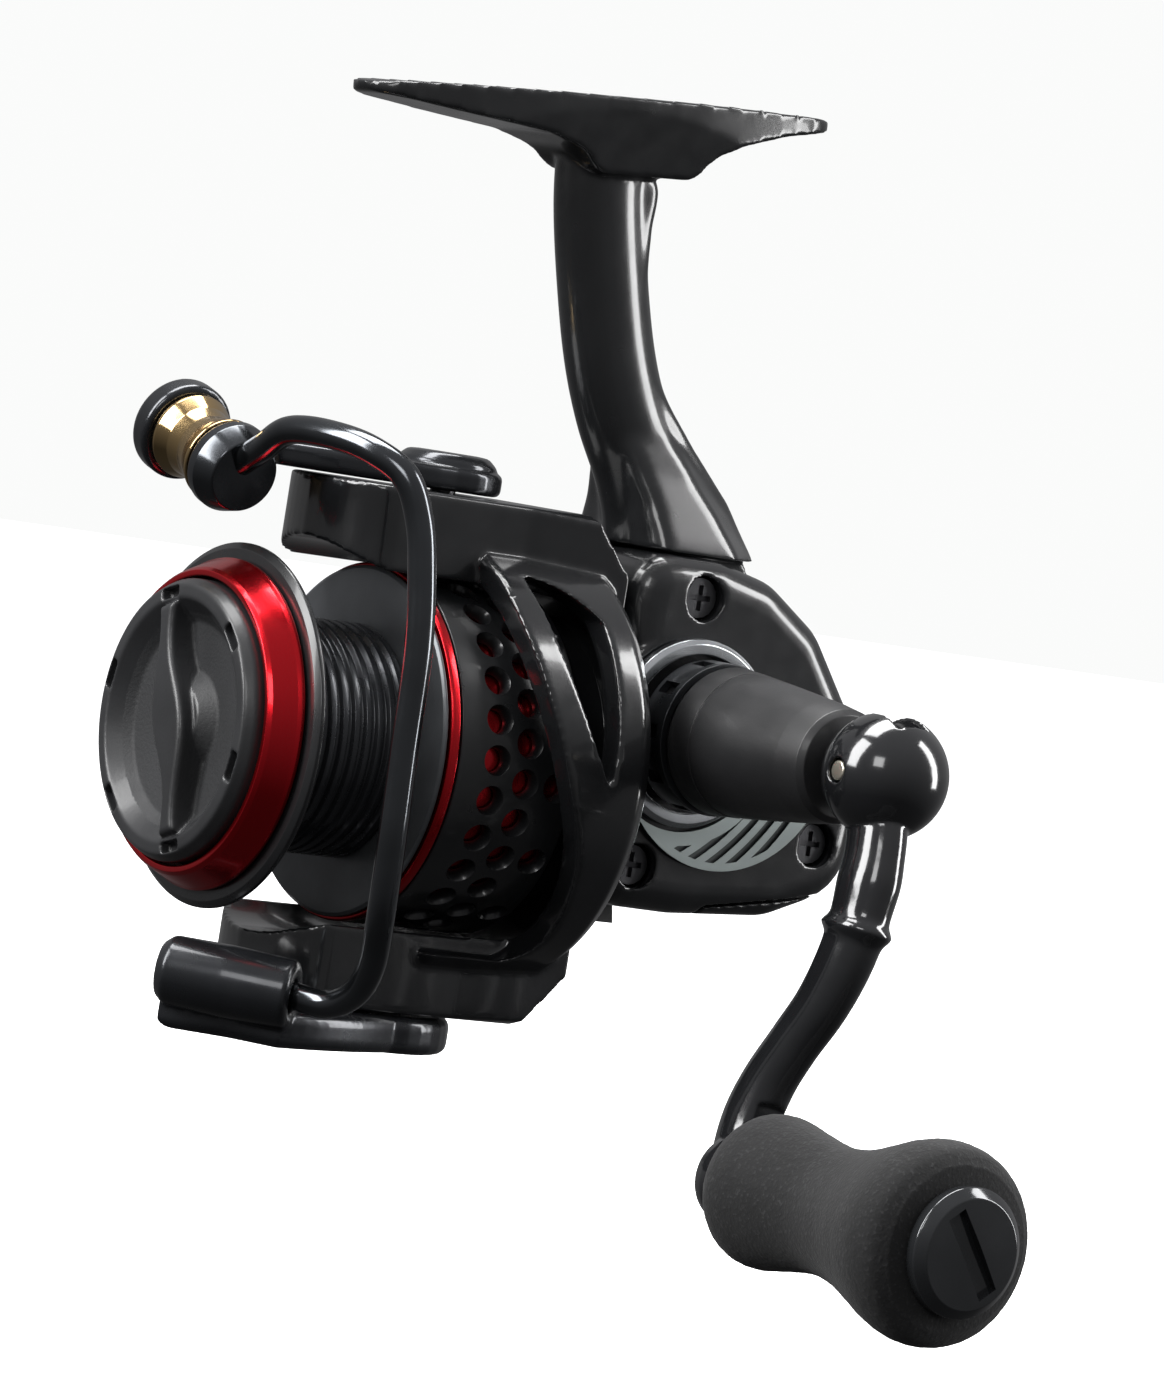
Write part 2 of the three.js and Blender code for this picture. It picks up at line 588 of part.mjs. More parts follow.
// ---- rotor ----
function rotorHub() {
  return turn('y', [
    [3.5 + GAP, -4.5], [HUB_R - 1, -4.5], [HUB_R, -3.5], [HUB_R, 5], [CAGE_IN - GAP, 5],
    [CAGE_IN - GAP, 6.6], [HUB_IN, 6.6], [HUB_IN, -2.6], [3.5 + GAP, -2.6],
  ], AXIS, HOLES);
}

// opening in front of the rim and the window in its flank, as (y, z), handle side
function frontCut() {
  const s = new THREE.Shape();
  s.moveTo(-40, SPOOL_Z + 23.5);
  s.lineTo(-12.4, SPOOL_Z + 23.5);
  s.quadraticCurveTo(-11.4, SPOOL_Z + 15, -8.8, SPOOL_Z + 8);
  s.quadraticCurveTo(-6, SPOOL_Z, -2.6, SPOOL_Z - 7);
  s.quadraticCurveTo(-0.4, SPOOL_Z - 12, 0.4, SPOOL_Z - 18);
  s.quadraticCurveTo(0.8, SPOOL_Z - 22.8, -3, SPOOL_Z - 23.5);
  s.lineTo(-40, SPOOL_Z - 23.5);
  s.closePath();
  return extrude('x', s, 4, 50);
}

function windowCut() {
  const s = new THREE.Shape();
  s.moveTo(-8.4, SPOOL_Z + 23);
  s.quadraticCurveTo(-6.6, SPOOL_Z + 11, 0.4, SPOOL_Z - 0.5);
  s.quadraticCurveTo(1.2, SPOOL_Z + 11, 0.9, SPOOL_Z + 19);
  s.quadraticCurveTo(-3, SPOOL_Z + 23, -8.4, SPOOL_Z + 23);
  return extrude('x', s, 4, 50);
}

function rotorArm() {
  const front = PIVOT_Y - 19;
  const plan = new THREE.Shape();
  plan.moveTo(-ARM_HALF - 2, 8.6);
  plan.lineTo(-ARM_HALF, -6);
  plan.lineTo(-ARM_HALF, PIVOT_Y - 13);
  plan.quadraticCurveTo(-ARM_HALF + 1, front + 1, 0, front);
  plan.quadraticCurveTo(ARM_HALF - 1, front + 1, ARM_HALF, PIVOT_Y - 13);
  plan.lineTo(ARM_HALF, -6);
  plan.lineTo(ARM_HALF + 2, 8.6);
  plan.closePath();
  const z0 = SPOOL_Z + 16;
  const block = extrude('z', plan, z0, SPOOL_Z + ARM_R, 0);
  const slope = extrude('x', shapeOf([
    [-40, 0], [-40, 60], [3, 60], [3, ARM_R], [9.2, ARM_R - 7.5], [9.2, 0],
  ].map(([y, z]) => [y, SPOOL_Z + z]).reverse()), -30, 30);
  const round = rod('y', ARM_R + 1.6, -40, 12, AXIS, 32);
  return block.intersect(slope).intersect(round);
}

function rotorCage() {
  const band = turn('y', [
    [CAGE_IN, -12.6], [CAGE_OUT - 0.6, -12.6], [CAGE_OUT, -12], [CAGE_OUT, 4.6],
    [CAGE_OUT - 1.2, 6.4], [CAGE_IN, 6.4],
  ], AXIS, 32);
  const arm = rotorArm();
  const cuts = join(frontCut(), windowCut());
  const pierced = cut(band, cuts, opposite(cuts));
  const bore = rod('y', CAGE_IN, -60, 12, AXIS, 32);
  const pocket = rod('z', 6, SPOOL_Z + ARM_R - 3.2, SPOOL_Z + ARM_R + 1, [0, PIVOT_Y, 0], 24);
  const hole = rod('z', 1.9, SPOOL_Z + 20, SPOOL_Z + ARM_R + 1, [0, PIVOT_Y, 0], 16);
  const whole = join(pierced, arm, opposite(arm));
  return cut(whole, bore, pocket, hole, opposite(pocket), opposite(hole));
}

function pinionGear() {
  const c = [0, CRANK_Y - GEAR_OFF, SPOOL_Z];
  const sleeve = ring('y', SHAFT_R + GAP, 3.5, -8.4, 5.9, AXIS, 16);
  const m = (2 * PINION_P) / PINION_TEETH;
  const g = extrude('y', gearShape(PINION_TEETH, m, SHAFT_R + GAP, 0.6, 0.32), 5.4, c[1] + 2.6);
  const tail = ring('y', SHAFT_R + GAP, PINION_P - 0.95 * m, c[1] + 2, c[1] + 5, AXIS, 16);
  return join(sleeve, g.rotate([0, 90, 0]).translate(AXIS), tail);
}

function rotorNut() {
  const s = new THREE.Shape();
  for (let i = 0; i < 6; i += 1) {
    const t = (Math.PI * i) / 3;
    if (i === 0) s.moveTo(6, 0);
    else s.lineTo(6 * Math.cos(t), 6 * Math.sin(t));
  }
  s.closePath();
  const nut = extrude('y', s, -7.8, -4.8).translate(AXIS);
  return nut.subtract(rod('y', 3.5 + GAP, -10, 0, AXIS, 24));
}

// pivot screw of the upper arm: head over the bail arm, shank down into the rotor
function pivotScrew() {
  const top = SPOOL_Z + ARM_R;
  const head = rod('z', 3, top + 3.3, top + 4.9, [0, PIVOT_Y, 0], 20);
  const shank = rod('z', 1.6, top - 4.6, top + 3.6, [0, PIVOT_Y, 0], 16);
  const slot = box(-2.2, 2.2, PIVOT_Y - 0.4, PIVOT_Y + 0.4, top + 4.1, top + 6);
  return cut(join(head, shank), slot);
}

function bailSpring() {
  const pts = [];
  const turns = 2.5;
  for (let i = 0; i <= turns * 12; i += 1) {
    const t = (2 * Math.PI * i) / 12;
    const z = SPOOL_Z + ARM_R - 2.7 + (1.9 * i) / (turns * 12);
    pts.push([4 * Math.cos(t), PIVOT_Y + 4 * Math.sin(t), z]);
  }
  return tube(pts, ovalSection(0.3, 0.3, 5), 24);
}

add('rotor_hub', rotorHub(), 0x1a1b1d);
add('rotor_cage', rotorCage(), 0x1a1b1d);
add('pinion_gear', pinionGear(), 0xc9a65a, 0.9, 0.3);
add('rotor_nut', rotorNut(), 0xb0b4b8, 0.9, 0.35);
add('upper_pivot_screw', pivotScrew(), 0x55585c, 0.9, 0.35);
add('lower_pivot_screw', opposite(pivotScrew()), 0x55585c, 0.9, 0.35);
add('bail_spring', bailSpring(), 0xa0a4a8, 0.9, 0.4);

// ---- bail ----
const TOP = SPOOL_Z + ARM_R + GAP;
const LOW = SPOOL_Z - ARM_R - GAP;
const ROLLER = [-6.5, -42.2, TOP + 0.6];
const ROLLER_DIR = new THREE.Vector3(0.96, 0.03, -0.28).normalize();
const SOCKET = [9.9, -38.1, LOW + 2.3];
const SOCKET_DIR = new THREE.Vector3(0.716, 0.698, -0.03).normalize();

// turns a piece made along X so that it lies along a direction, at a point
function aim(geometry, dir, at) {
  const q = new THREE.Quaternion().setFromUnitVectors(new THREE.Vector3(1, 0, 0), dir);
  geometry.applyQuaternion(q);
  geometry.translate(...at);
  return solid(geometry);
}

function alongX(profile, segments = 24) {
  const g = new THREE.LatheGeometry(v2(profile), segments);
  g.rotateZ(-Math.PI / 2);
  return g;
}

function armPlan() {
  const s = new THREE.Shape();
  s.moveTo(-6.6, PIVOT_Y - 2.4);
  s.absarc(0, PIVOT_Y, 7, 200 * RAD, -20 * RAD, true);
  s.quadraticCurveTo(7, PIVOT_Y - 16, -2, ROLLER[1] + 3);
  s.lineTo(-9, ROLLER[1] - 3.4);
  s.lineTo(-14.6, ROLLER[1] - 3.2);
  s.lineTo(-15, ROLLER[1] + 3);
  s.quadraticCurveTo(-10, PIVOT_Y - 14, -6.6, PIVOT_Y - 2.4);
  return s;
}

function bailArm() {
  const plate = extrude('z', armPlan(), TOP, TOP + 2.9, 0.6, 1);
  const cheek = aim(alongX([
    [0, -8.8], [5.2, -8.6], [6.1, -7.4], [6.1, -4.6], [0, -4.6],
  ]), ROLLER_DIR, ROLLER);
  const bridge = box(-15, -10.6, ROLLER[1] - 3, ROLLER[1] + 9, TOP - 1.2, TOP + 2.4);
  const swept = aim(alongX([[0, -4.6], [6.4, -4.6], [6.4, 12], [0, 12]]), ROLLER_DIR, ROLLER);
  const bore = aim(alongX([[0, -9], [1 + GAP, -9], [1 + GAP, 9], [0, 9]], 12), ROLLER_DIR, ROLLER);
  const hub = rod('z', 1.6 + GAP, TOP - 3, TOP + 9, [0, PIVOT_Y, 0], 16);
  const recess = rod('z', 3 + GAP, TOP + 2.6, TOP + 9, [0, PIVOT_Y, 0], 20);
  const dome = turn('z', [
    [0, TOP + 1], [6.4, TOP + 1], [6.2, TOP + 3.4], [5, TOP + 4.5], [0, TOP + 4.9],
  ], [0, PIVOT_Y, 0], 24);
  return cut(join(plate, bridge, cheek, dome), swept, bore, hub, recess);
}

function rollerPin() {
  return aim(alongX([
    [0, -9.4], [1.9, -9.4], [1.9, -8.9], [1, -8.9], [1, 4.6], [0, 4.6],
  ], 16), ROLLER_DIR, ROLLER);
}

function lineRoller() {
  return aim(alongX([
    [1 + GAP, -4.3], [5.3, -4.3], [5.3, -3.6], [4.5, -1.8], [4.2, 0.2], [4.5, 2], [5.2, 3.8],
    [5.2, 4.3], [1 + GAP, 4.3], [1 + GAP, -4.3],
  ], 20), ROLLER_DIR, ROLLER);
}

// the wire's centre line as (x, y, height over the spool axis), for an arm radius of 31.5
const BAIL_SCALE = ARM_R / 31.5;
const WIRE = [
  [6.5, -42.6, 33.5], [12.5, -43, 36.1], [20.5, -41.4, 36.3], [25.9, -39.4, 35.2],
  [29.4, -37, 32.9], [31, -35.3, 28.2], [31.9, -34.3, 21.7], [32.7, -33.8, 13.7],
  [32.9, -33.7, 1.7], [32.9, -33.4, -9.3], [31.6, -32.4, -18.3],
  [28.6, -30.6, -23.9], [24.2, -29.4, -27.9], [20, -30, -29.9],
].map(([x, y, z]) => [x * BAIL_SCALE, y, SPOOL_Z + z * BAIL_SCALE]);

function bailWire() {
  const start = new THREE.Vector3(...ROLLER).addScaledVector(ROLLER_DIR, 6.4);
  const end = new THREE.Vector3(...SOCKET).addScaledVector(SOCKET_DIR, 7);
  const loop = tube([
    start.toArray(), ...WIRE, end.toArray(),
    new THREE.Vector3(...SOCKET).addScaledVector(SOCKET_DIR, 3).toArray(),
  ], ovalSection(1.7, 1.7, 8), 38);
  const cone = aim(alongX([
    [0, 4.9], [5.3, 4.9], [5.5, 5.4], [5.5, 6.6], [4.4, 9.3], [0, 9.3],
  ]), ROLLER_DIR, ROLLER);
  return join(loop, cone);
}

function leverPlan() {
  const s = new THREE.Shape();
  s.absarc(0, PIVOT_Y, 11, 200 * RAD, -10 * RAD, true);
  s.quadraticCurveTo(15, PIVOT_Y - 12, 15.2, SOCKET[1] + 5);
  s.lineTo(9, SOCKET[1] + 1.4);
  s.lineTo(3.6, SOCKET[1] - 5);
  s.quadraticCurveTo(-6, PIVOT_Y - 16, -10.3, PIVOT_Y - 3.8);
  return s;
}

function bailLever() {
  const plate = extrude('z', leverPlan(), LOW - 4.6, LOW, 1, 1);
  const barrel = aim(alongX([
    [0, -8.4], [3.2, -8.2], [4.2, -7], [4.4, 0], [4.2, 8], [3.4, 8.4], [0, 8.4],
  ]), SOCKET_DIR, SOCKET);
  const mouth = aim(alongX([[0, 2.4], [2, 2.4], [2, 9], [0, 9]], 16), SOCKET_DIR, SOCKET);
  const near = new THREE.Vector3(...SOCKET).addScaledVector(SOCKET_DIR, 6);
  const hub = rod('z', 1.6 + GAP, LOW - 9, LOW + 3, [0, PIVOT_Y, 0], 16);
  const recess = rod('z', 3 + GAP, LOW - 9, LOW - 2.6, [0, PIVOT_Y, 0], 20);
  return cut(join(plate, barrel), mouth, hub, recess, sweptWire(near));
}

function sweptWire(near) {
  return tube([
    near.toArray(), ...WIRE.slice(-3).reverse(),
  ], ovalSection(2.1, 2.1, 8), 6);
}

add('bail_arm', bailArm(), 0x4a4c50, 0.9, 0.25);
add('bail_wire', bailWire(), 0x5a5c60, 0.95, 0.2);
add('bail_lever', bailLever(), 0x3a3c40, 0.7, 0.3);
add('roller_pin', rollerPin(), 0x8a8d92, 0.9, 0.3);
add('line_roller', lineRoller(), 0xb08d4a, 0.95, 0.2);

// ---- main shaft and slider ----
function mainShaft() {
  return rod('y', SHAFT_R, -42.6, SLIDER_Y + 4.4, AXIS);
}

function slider() {
  const block = box(-3.4, 2.4, SLIDER_Y - 3, SLIDER_Y + 3, SPOOL_Z - 11.4, SPOOL_Z + 11);
  const reach = STROKE / 2 + 1.8;
  const slot = box(-3.5, -2, SLIDER_Y - 1.6, SLIDER_Y + 1.6, OSC[2] - reach, OSC[2] + reach);
  const shaft = rod('y', SHAFT_R + GAP, SLIDER_Y - 6, SLIDER_Y + 6, AXIS);
  const guide = rod('y', 1.2 + GAP, SLIDER_Y - 6, SLIDER_Y + 6, [0, 0, GUIDE_Z], 14);
  return cut(block, slot, shaft, guide);
}

add('main_shaft', mainShaft(), 0xc0c4c8, 0.9, 0.25);
add('crosswind_slider', slider(), 0x9a9da2, 0.8, 0.4);
add('shaft_collar', ring('y', SHAFT_R + GAP, 4, -23.8, -22.8, AXIS, 20), 0xb0b4b8, 0.9, 0.3);

// ---- spool ----
function arbor() {
  const pts = [[9, -37], [ARBOR_R, -37]];
  const ribs = 6;
  const pitch = (SPOOL_BACK - SPOOL_FRONT - 1.8) / ribs;
  for (let i = 0; i < ribs; i += 1) {
    const y = SPOOL_FRONT + 0.9 + (i + 0.5) * pitch;
    pts.push([ARBOR_R, y - 0.45], [ARBOR_R - 0.5, y], [ARBOR_R, y + 0.45]);
  }
  pts.push([ARBOR_R, SPOOL_BACK - GAP], [9, SPOOL_BACK - GAP], [9, -26]);
  pts.push([SHAFT_R + GAP, -26], [SHAFT_R + GAP, -32], [9, -32]);
  return turn('y', pts, AXIS, 20);
}

function frontFlange() {
  const f = FLAT_T;
  return turn('y', [
    [9, f], [19.6, f], [21.2, f + 0.1], [LIP_R, f + 0.6], [LIP_R, f + 1.1],
    [LIP_R - 0.6, SPOOL_FRONT], [9, SPOOL_FRONT],
  ], AXIS, HOLES);
}

function lipRing() {
  const y0 = FLAT_T - GAP;
  return turn('y', [
    [17.4, y0 - 4.1], [18.1, y0 - 4.1], [19.8, y0 - 0.7], [20, y0], [17.4, y0],
  ], AXIS, HOLES);
}

function rearFlange() {
  return turn('y', [
    [9, SPOOL_BACK], [LIP_R - 1, SPOOL_BACK], [LIP_R - 0.55, SPOOL_BACK + 0.25],
    [LIP_R - 0.55, SPOOL_BACK + 0.5], [SKIRT_IN - GAP, SPOOL_BACK + 0.5],
    [SKIRT_IN - GAP, SPOOL_BACK + 2], [9, SPOOL_BACK + 2],
  ], AXIS, HOLES);
}

function skirtRing() {
  const y = SPOOL_BACK + 0.5 + GAP;
  return turn('y', [
    [SKIRT_IN, y], [SKIRT_R - 0.2, y], [SKIRT_R, y + 0.3], [SKIRT_R, y + 1.2], [SKIRT_IN, y + 1.2],
  ], AXIS, HOLES);
}

function skirt() {
  const y = SPOOL_BACK + 2 + GAP;
  const shell = turn('y', [
    [SKIRT_IN, y], [SKIRT_R, y], [SKIRT_R, SKIRT_END - 0.4], [SKIRT_R - 0.4, SKIRT_END],
    [SKIRT_IN, SKIRT_END],
  ], AXIS, HOLES);
  const cuts = [];
  const rows = [[-12.8, -3, 1], [-8.3, 3.4, 1], [-3.7, 3.4, 2]];
  for (const [at, lead, step] of rows) {
    for (let i = 0; i < HOLES; i += step) {
      const hole = rod('x', 1.6, SKIRT_IN - 0.5, SKIRT_R + 1, [0, 0, 0], 5);
      cuts.push(hole.rotate([0, lead + (360 * i) / HOLES, 0]).translate([0, at, SPOOL_Z]));
    }
  }
  return cut(shell, wasm.Manifold.union(cuts));
}

function clickRatchet() {
  return extrude('y', gearShape(20, 0.75, 4.4), -25.7, -24.4).translate(AXIS);
}

add('spool_lip_ring', lipRing(), 0xc01822, 0.85, 0.3);
add('spool_front_flange', frontFlange(), 0x1b1c1e);
add('spool_arbor', arbor(), 0x2a2b2e, 0.6, 0.4);
add('spool_rear_flange', rearFlange(), 0x3a3c3f, 0.4, 0.4);
add('skirt_trim_ring', skirtRing(), 0xc01822, 0.85, 0.3);
add('spool_skirt', skirt(), 0x1b1c1e);
add('drum_sleeve', ring('y', SLEEVE_R - 0.7, SLEEVE_R, -17.8, SKIRT_END - 1, AXIS, 28), 0xa01820, 0.7, 0.4);
add('click_ratchet', clickRatchet(), 0xe4e2da, 0.1, 0.5);
add('drag_washer_steel', ring('y', 2.2, 8.6, -33.2, -32.3, AXIS, 24), 0xb0b4b8, 0.9, 0.3);
add('drag_washer_felt', ring('y', 2.2, 8.6, -34.5, -33.5, AXIS, 24), 0x8a7f6a, 0, 0.9);
add('drag_pressure_plate', ring('y', 2.2, 8.4, -35.9, -34.8, AXIS, 24), 0xb0b4b8, 0.9, 0.3);

// ---- drag knob ----
function ridgeShape() {
  const s = new THREE.Shape();
  s.moveTo(-13.4, -4.6);
  s.bezierCurveTo(-7, -1.2, -4, -3.4, 0, -3.2);
  s.bezierCurveTo(5, -3, 8, 0.6, 13.8, 1.4);
  s.lineTo(13.4, 4.6);
  s.bezierCurveTo(7, 1.2, 4, 3.4, 0, 3.2);
  s.bezierCurveTo(-5, 3, -8, -0.6, -13.8, -1.4);
  s.closePath();
  return s;
}

function dragKnob() {
  const front = FLAT_T - 5.6;
  const body = turn('y', [
    [0, front + 0.4], [4, front + 0.4], [6, front + 2.2], [12, front + 1.6], [14.6, front - 1],
    [16.2, front - 0.9],
    [17, front + 0.4], [17, front + 3.4], [15.6, FLAT_T - 0.6], [8.4, FLAT_T - 0.6],
    [8.4, -36.4], [4.6, -36.4], [4.6, -41], [SHAFT_R + GAP, -41], [SHAFT_R + GAP, -43],
    [0, -43],
  ], AXIS, 28);
  const ridge = extrude('y', ridgeShape(), front - 1.6, front + 2.6, 0.6, 1);
  const turned = ridge.rotate([0, -28, 0]).translate(AXIS);
  const slots = [];
  for (let i = 0; i < 6; i += 1) {
    const s = box(15, 16, front - 3, front + 0.3, -1.7, 1.7);
    slots.push(s.rotate([0, 14 + 60 * i, 0]).translate(AXIS));
  }
  const bore = rod('y', SHAFT_R + GAP, -43, -36, AXIS, 20);
  return cut(join(body, turned), wasm.Manifold.union(slots), bore);
}

function dragNut() {
  const s = new THREE.Shape();
  for (let i = 0; i < 6; i += 1) {
    const t = (Math.PI * i) / 3;
    if (i === 0) s.moveTo(4.1, 0);
    else s.lineTo(4.1 * Math.cos(t), 4.1 * Math.sin(t));
  }
  const nut = extrude('y', s, -40.6, -37).translate(AXIS);
  return nut.subtract(rod('y', SHAFT_R + GAP, -42, -36, AXIS, 20));
}

add('drag_knob', dragKnob(), 0x232426, 0.1, 0.5);
add('drag_nut', dragNut(), 0xc9a65a, 0.9, 0.3);

// ---- anti-reverse lever ----
function reverseLever() {
  const x = LEVER_X;
  const tab = shapeOf([
    [x - 1.8, BODY_LOW + 5.6], [x + 1.8, BODY_LOW + 5.6], [x + 1.4, BODY_LOW - 1.4],
    [x + 2, BODY_LOW - 3.6], [x - 1.2, BODY_LOW - 3.6], [x - 1.2, BODY_LOW - 1.4],
  ].map(([u, z]) => [z, u]));
  const m = extrude('y', tab, LEVER_Y - 1.5, LEVER_Y + 1.5);
  const hub = rod('y', 2.2, LEVER_Y - 1.5, LEVER_Y + 1.5, [x, 0, BODY_LOW + 5.6], 16);
  return join(m, hub);
}
add('anti_reverse_lever', reverseLever(), 0x2c2d30, 0.1, 0.5);

export default group;
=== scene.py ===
import json
import math

import bmesh
import bpy
from mathutils import Matrix, Vector, noise


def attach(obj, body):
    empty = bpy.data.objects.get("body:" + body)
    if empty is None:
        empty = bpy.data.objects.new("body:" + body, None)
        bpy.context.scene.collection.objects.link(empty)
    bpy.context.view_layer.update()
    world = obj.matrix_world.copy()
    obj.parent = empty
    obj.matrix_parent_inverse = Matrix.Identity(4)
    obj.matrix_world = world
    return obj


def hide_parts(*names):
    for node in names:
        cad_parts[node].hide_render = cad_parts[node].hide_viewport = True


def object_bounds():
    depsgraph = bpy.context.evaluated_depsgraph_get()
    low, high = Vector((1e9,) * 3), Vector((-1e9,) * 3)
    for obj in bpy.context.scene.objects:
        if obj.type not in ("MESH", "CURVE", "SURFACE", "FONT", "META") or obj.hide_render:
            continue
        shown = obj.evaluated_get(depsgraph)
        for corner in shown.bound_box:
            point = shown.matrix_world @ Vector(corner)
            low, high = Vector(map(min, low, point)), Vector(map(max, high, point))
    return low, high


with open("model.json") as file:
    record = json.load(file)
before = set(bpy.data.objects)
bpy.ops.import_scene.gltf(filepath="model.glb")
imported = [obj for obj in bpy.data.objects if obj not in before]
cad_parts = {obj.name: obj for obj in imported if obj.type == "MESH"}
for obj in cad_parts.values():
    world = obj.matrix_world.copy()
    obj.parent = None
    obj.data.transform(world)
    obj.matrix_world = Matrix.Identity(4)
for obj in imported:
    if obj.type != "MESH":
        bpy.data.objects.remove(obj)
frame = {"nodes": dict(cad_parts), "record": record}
CAD_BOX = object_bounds()

MM = 0.001
RAD = math.pi / 180

# ---- the sizes that part.mjs drives the reel with ----
GAP = 0.3
SPOOL_Z = -81.7
AXIS = (0, 0, SPOOL_Z)
LIP_R = 22
ARBOR_R = 14.3
SPOOL_FRONT = -37.3
SPOOL_BACK = -20.5
SKIRT_END = -1
SKIRT_R = LIP_R - 0.1
SKIRT_IN = SKIRT_R - 1.7
FLAT_T = SPOOL_FRONT - 1.7
PIVOT_Y = -12
PIVOT = (0, PIVOT_Y, 0)
ARM_R = LIP_R + 9.5
ARM_HALF = 11
CRANK_Y = 20.1
CRANK_Z = SPOOL_Z + 6.9
CRANK = (0, CRANK_Y, CRANK_Z)
BODY_HALF = 13.5
BODY_FRONT = 10.2
BODY_LOW = SPOOL_Z - 15.6
BODY_REAR = CRANK_Y + 30.4
BOSS_R = 12.4
HUB_R = 18.6
HUB_IN = 17.2
NOSE_R = 16.5
NOSE_IN = 15.3
CAGE_IN = LIP_R + 1.9
CAGE_OUT = LIP_R + 5.5
PLATE_R = HUB_IN + 1.5
FOOT_FRONT, FOOT_REAR, FOOT_HALF, FOOT_TILT = -33, 35.75, 7.6, 5
HOLES = 28
HEAD = (54, CRANK_Y, CRANK_Z)
BOSS_END = 46.3
ARM_X = 50.5
CRANK_R = 50.6
CRANK_LEAN = -10.6 * RAD
KNOB = (0, CRANK_Y + CRANK_R * math.sin(CRANK_LEAN), CRANK_Z - CRANK_R * math.cos(CRANK_LEAN))
TOP = SPOOL_Z + ARM_R + GAP
LOW = SPOOL_Z - ARM_R - GAP
ROLLER = Vector((-6.5, -42.2, TOP + 0.6))
ROLLER_DIR = Vector((0.96, 0.03, -0.28)).normalized()
SOCKET = Vector((9.9, -38.1, LOW + 2.3))
SOCKET_DIR = Vector((0.716, 0.698, -0.03)).normalized()
SCREWS = [
    (CRANK_Y, CRANK_Z + 16.6), (CRANK_Y - 4, BODY_LOW + 5.4), (BODY_REAR - 7.5, BODY_LOW + 10.5),
]
LEVER_X, LEVER_Y = -7, CRANK_Y + 5.5
STUD = (0, 33.78, -78.47)
SCREW_HEAD_R = 2.5 + GAP
SCREW_HOLE_R = 1.1 + GAP
BEARING_HOLE_R = 5.9
GEAR_ROOM_R = 14.8
TONGUE_HALF = 3.4
HINGE_HOLE_R = 1.5
HINGE_ROOM = 2.3
PIVOT_HOLE_R = 1.9
PIVOT_HEAD_R = 3.3
FOAM_BUMP = 0.06
FOAM_SCALE = 1.3
DIAL_FACE_R = 13.2
WIRE_END = [(28.6, -30.6, -105.6), (24.2, -29.4, -109.6), (20, -30, -111.6)]


# ---- mesh helpers ----
def wrap(data, name="piece"):
    """An object in the scene for a mesh, a light or a camera."""
    obj = bpy.data.objects.new(name, data)
    bpy.context.scene.collection.objects.link(obj)
    return obj


def build(verts, faces):
    """An object of these points and faces, with its normals outward."""
    mesh = bpy.data.meshes.new("piece")
    bm = bmesh.new()
    points = [bm.verts.new(v) for v in verts]
    for face in faces:
        bm.faces.new([points[i] for i in face])
    bmesh.ops.remove_doubles(bm, verts=bm.verts, dist=1e-5)
    bmesh.ops.recalc_face_normals(bm, faces=bm.faces)
    bm.to_mesh(mesh)
    bm.free()
    return wrap(mesh)


def fillet(points, radius, closed=True, steps=4):
    """An outline with its corners rounded."""
    out = []
    count = len(points)
    for i, point in enumerate(points):
        here = Vector(point)
        u = Vector(points[i - 1]) - here
        w = Vector(points[(i + 1) % count]) - here
        end = not closed and i in (0, count - 1)
        if end or min(u.length, w.length) < 1e-6 or u.angle(w) > 3.1:
            out.append(tuple(point))
            continue
        reach = min(radius / math.tan(u.angle(w) / 2), min(u.length, w.length) * 0.45)
        a = here + u.normalized() * reach
        b = here + w.normalized() * reach
        for k in range(steps + 1):
            t = k / steps
            out.append(tuple(a * (1 - t) ** 2 + here * 2 * t * (1 - t) + b * t * t))
    return out


def lathe(axis, profile, centre=AXIS, segments=128, radius=0.25, steps=4):
    """A profile of (radius, position) pairs turned about x, y, z or a direction."""
    ends = profile[0][0] == 0 and profile[-1][0] == 0
    pts = fillet(profile, radius, not ends, steps) if radius else list(profile)
    sides = {
        "x": ((0, 1, 0), (0, 0, 1), (1, 0, 0)),
        "y": ((0, 0, 1), (1, 0, 0), (0, 1, 0)),
        "z": ((1, 0, 0), (0, 1, 0), (0, 0, 1)),
    }
    if isinstance(axis, str):
        u, w, d = (Vector(v) for v in sides[axis])
    else:
        d = Vector(axis).normalized()
        u = d.orthogonal().normalized()
        w = d.cross(u)
    verts, rings, faces = [], [], []
    for r, h in pts:
        start = len(verts)
        if r < 1e-6:
            verts.append(Vector(centre) + d * h)
            rings.append([start])
            continue
        for k in range(segments):
            t = 2 * math.pi * k / segments
            verts.append(Vector(centre) + d * h + u * r * math.cos(t) + w * r * math.sin(t))
        rings.append(list(range(start, start + segments)))
    pairs = list(zip(rings, rings[1:])) + ([] if ends else [(rings[-1], rings[0])])
    for a, b in pairs:
        if len(a) == 1 and len(b) == 1:
            continue
        for k in range(segments):
            j = (k + 1) % segments
            if len(a) == 1:
                faces.append([a[0], b[k], b[j]])
            elif len(b) == 1:
                faces.append([a[k], a[j], b[0]])
            else:
                faces.append([a[k], a[j], b[j], b[k]])
    return build(verts, faces)


def rod(axis, r, low, high, centre, segments=48, radius=0):
    """A cylinder from low to high along its axis."""
    return lathe(axis, [(0, low), (r, low), (r, high), (0, high)], centre, segments, radius)


def place(axis, a, b, h):
    """A pair of an outline at a height along the axis, as a point."""
    return {"x": (h, a, b), "y": (b, h, a), "z": (a, b, h)}[axis]


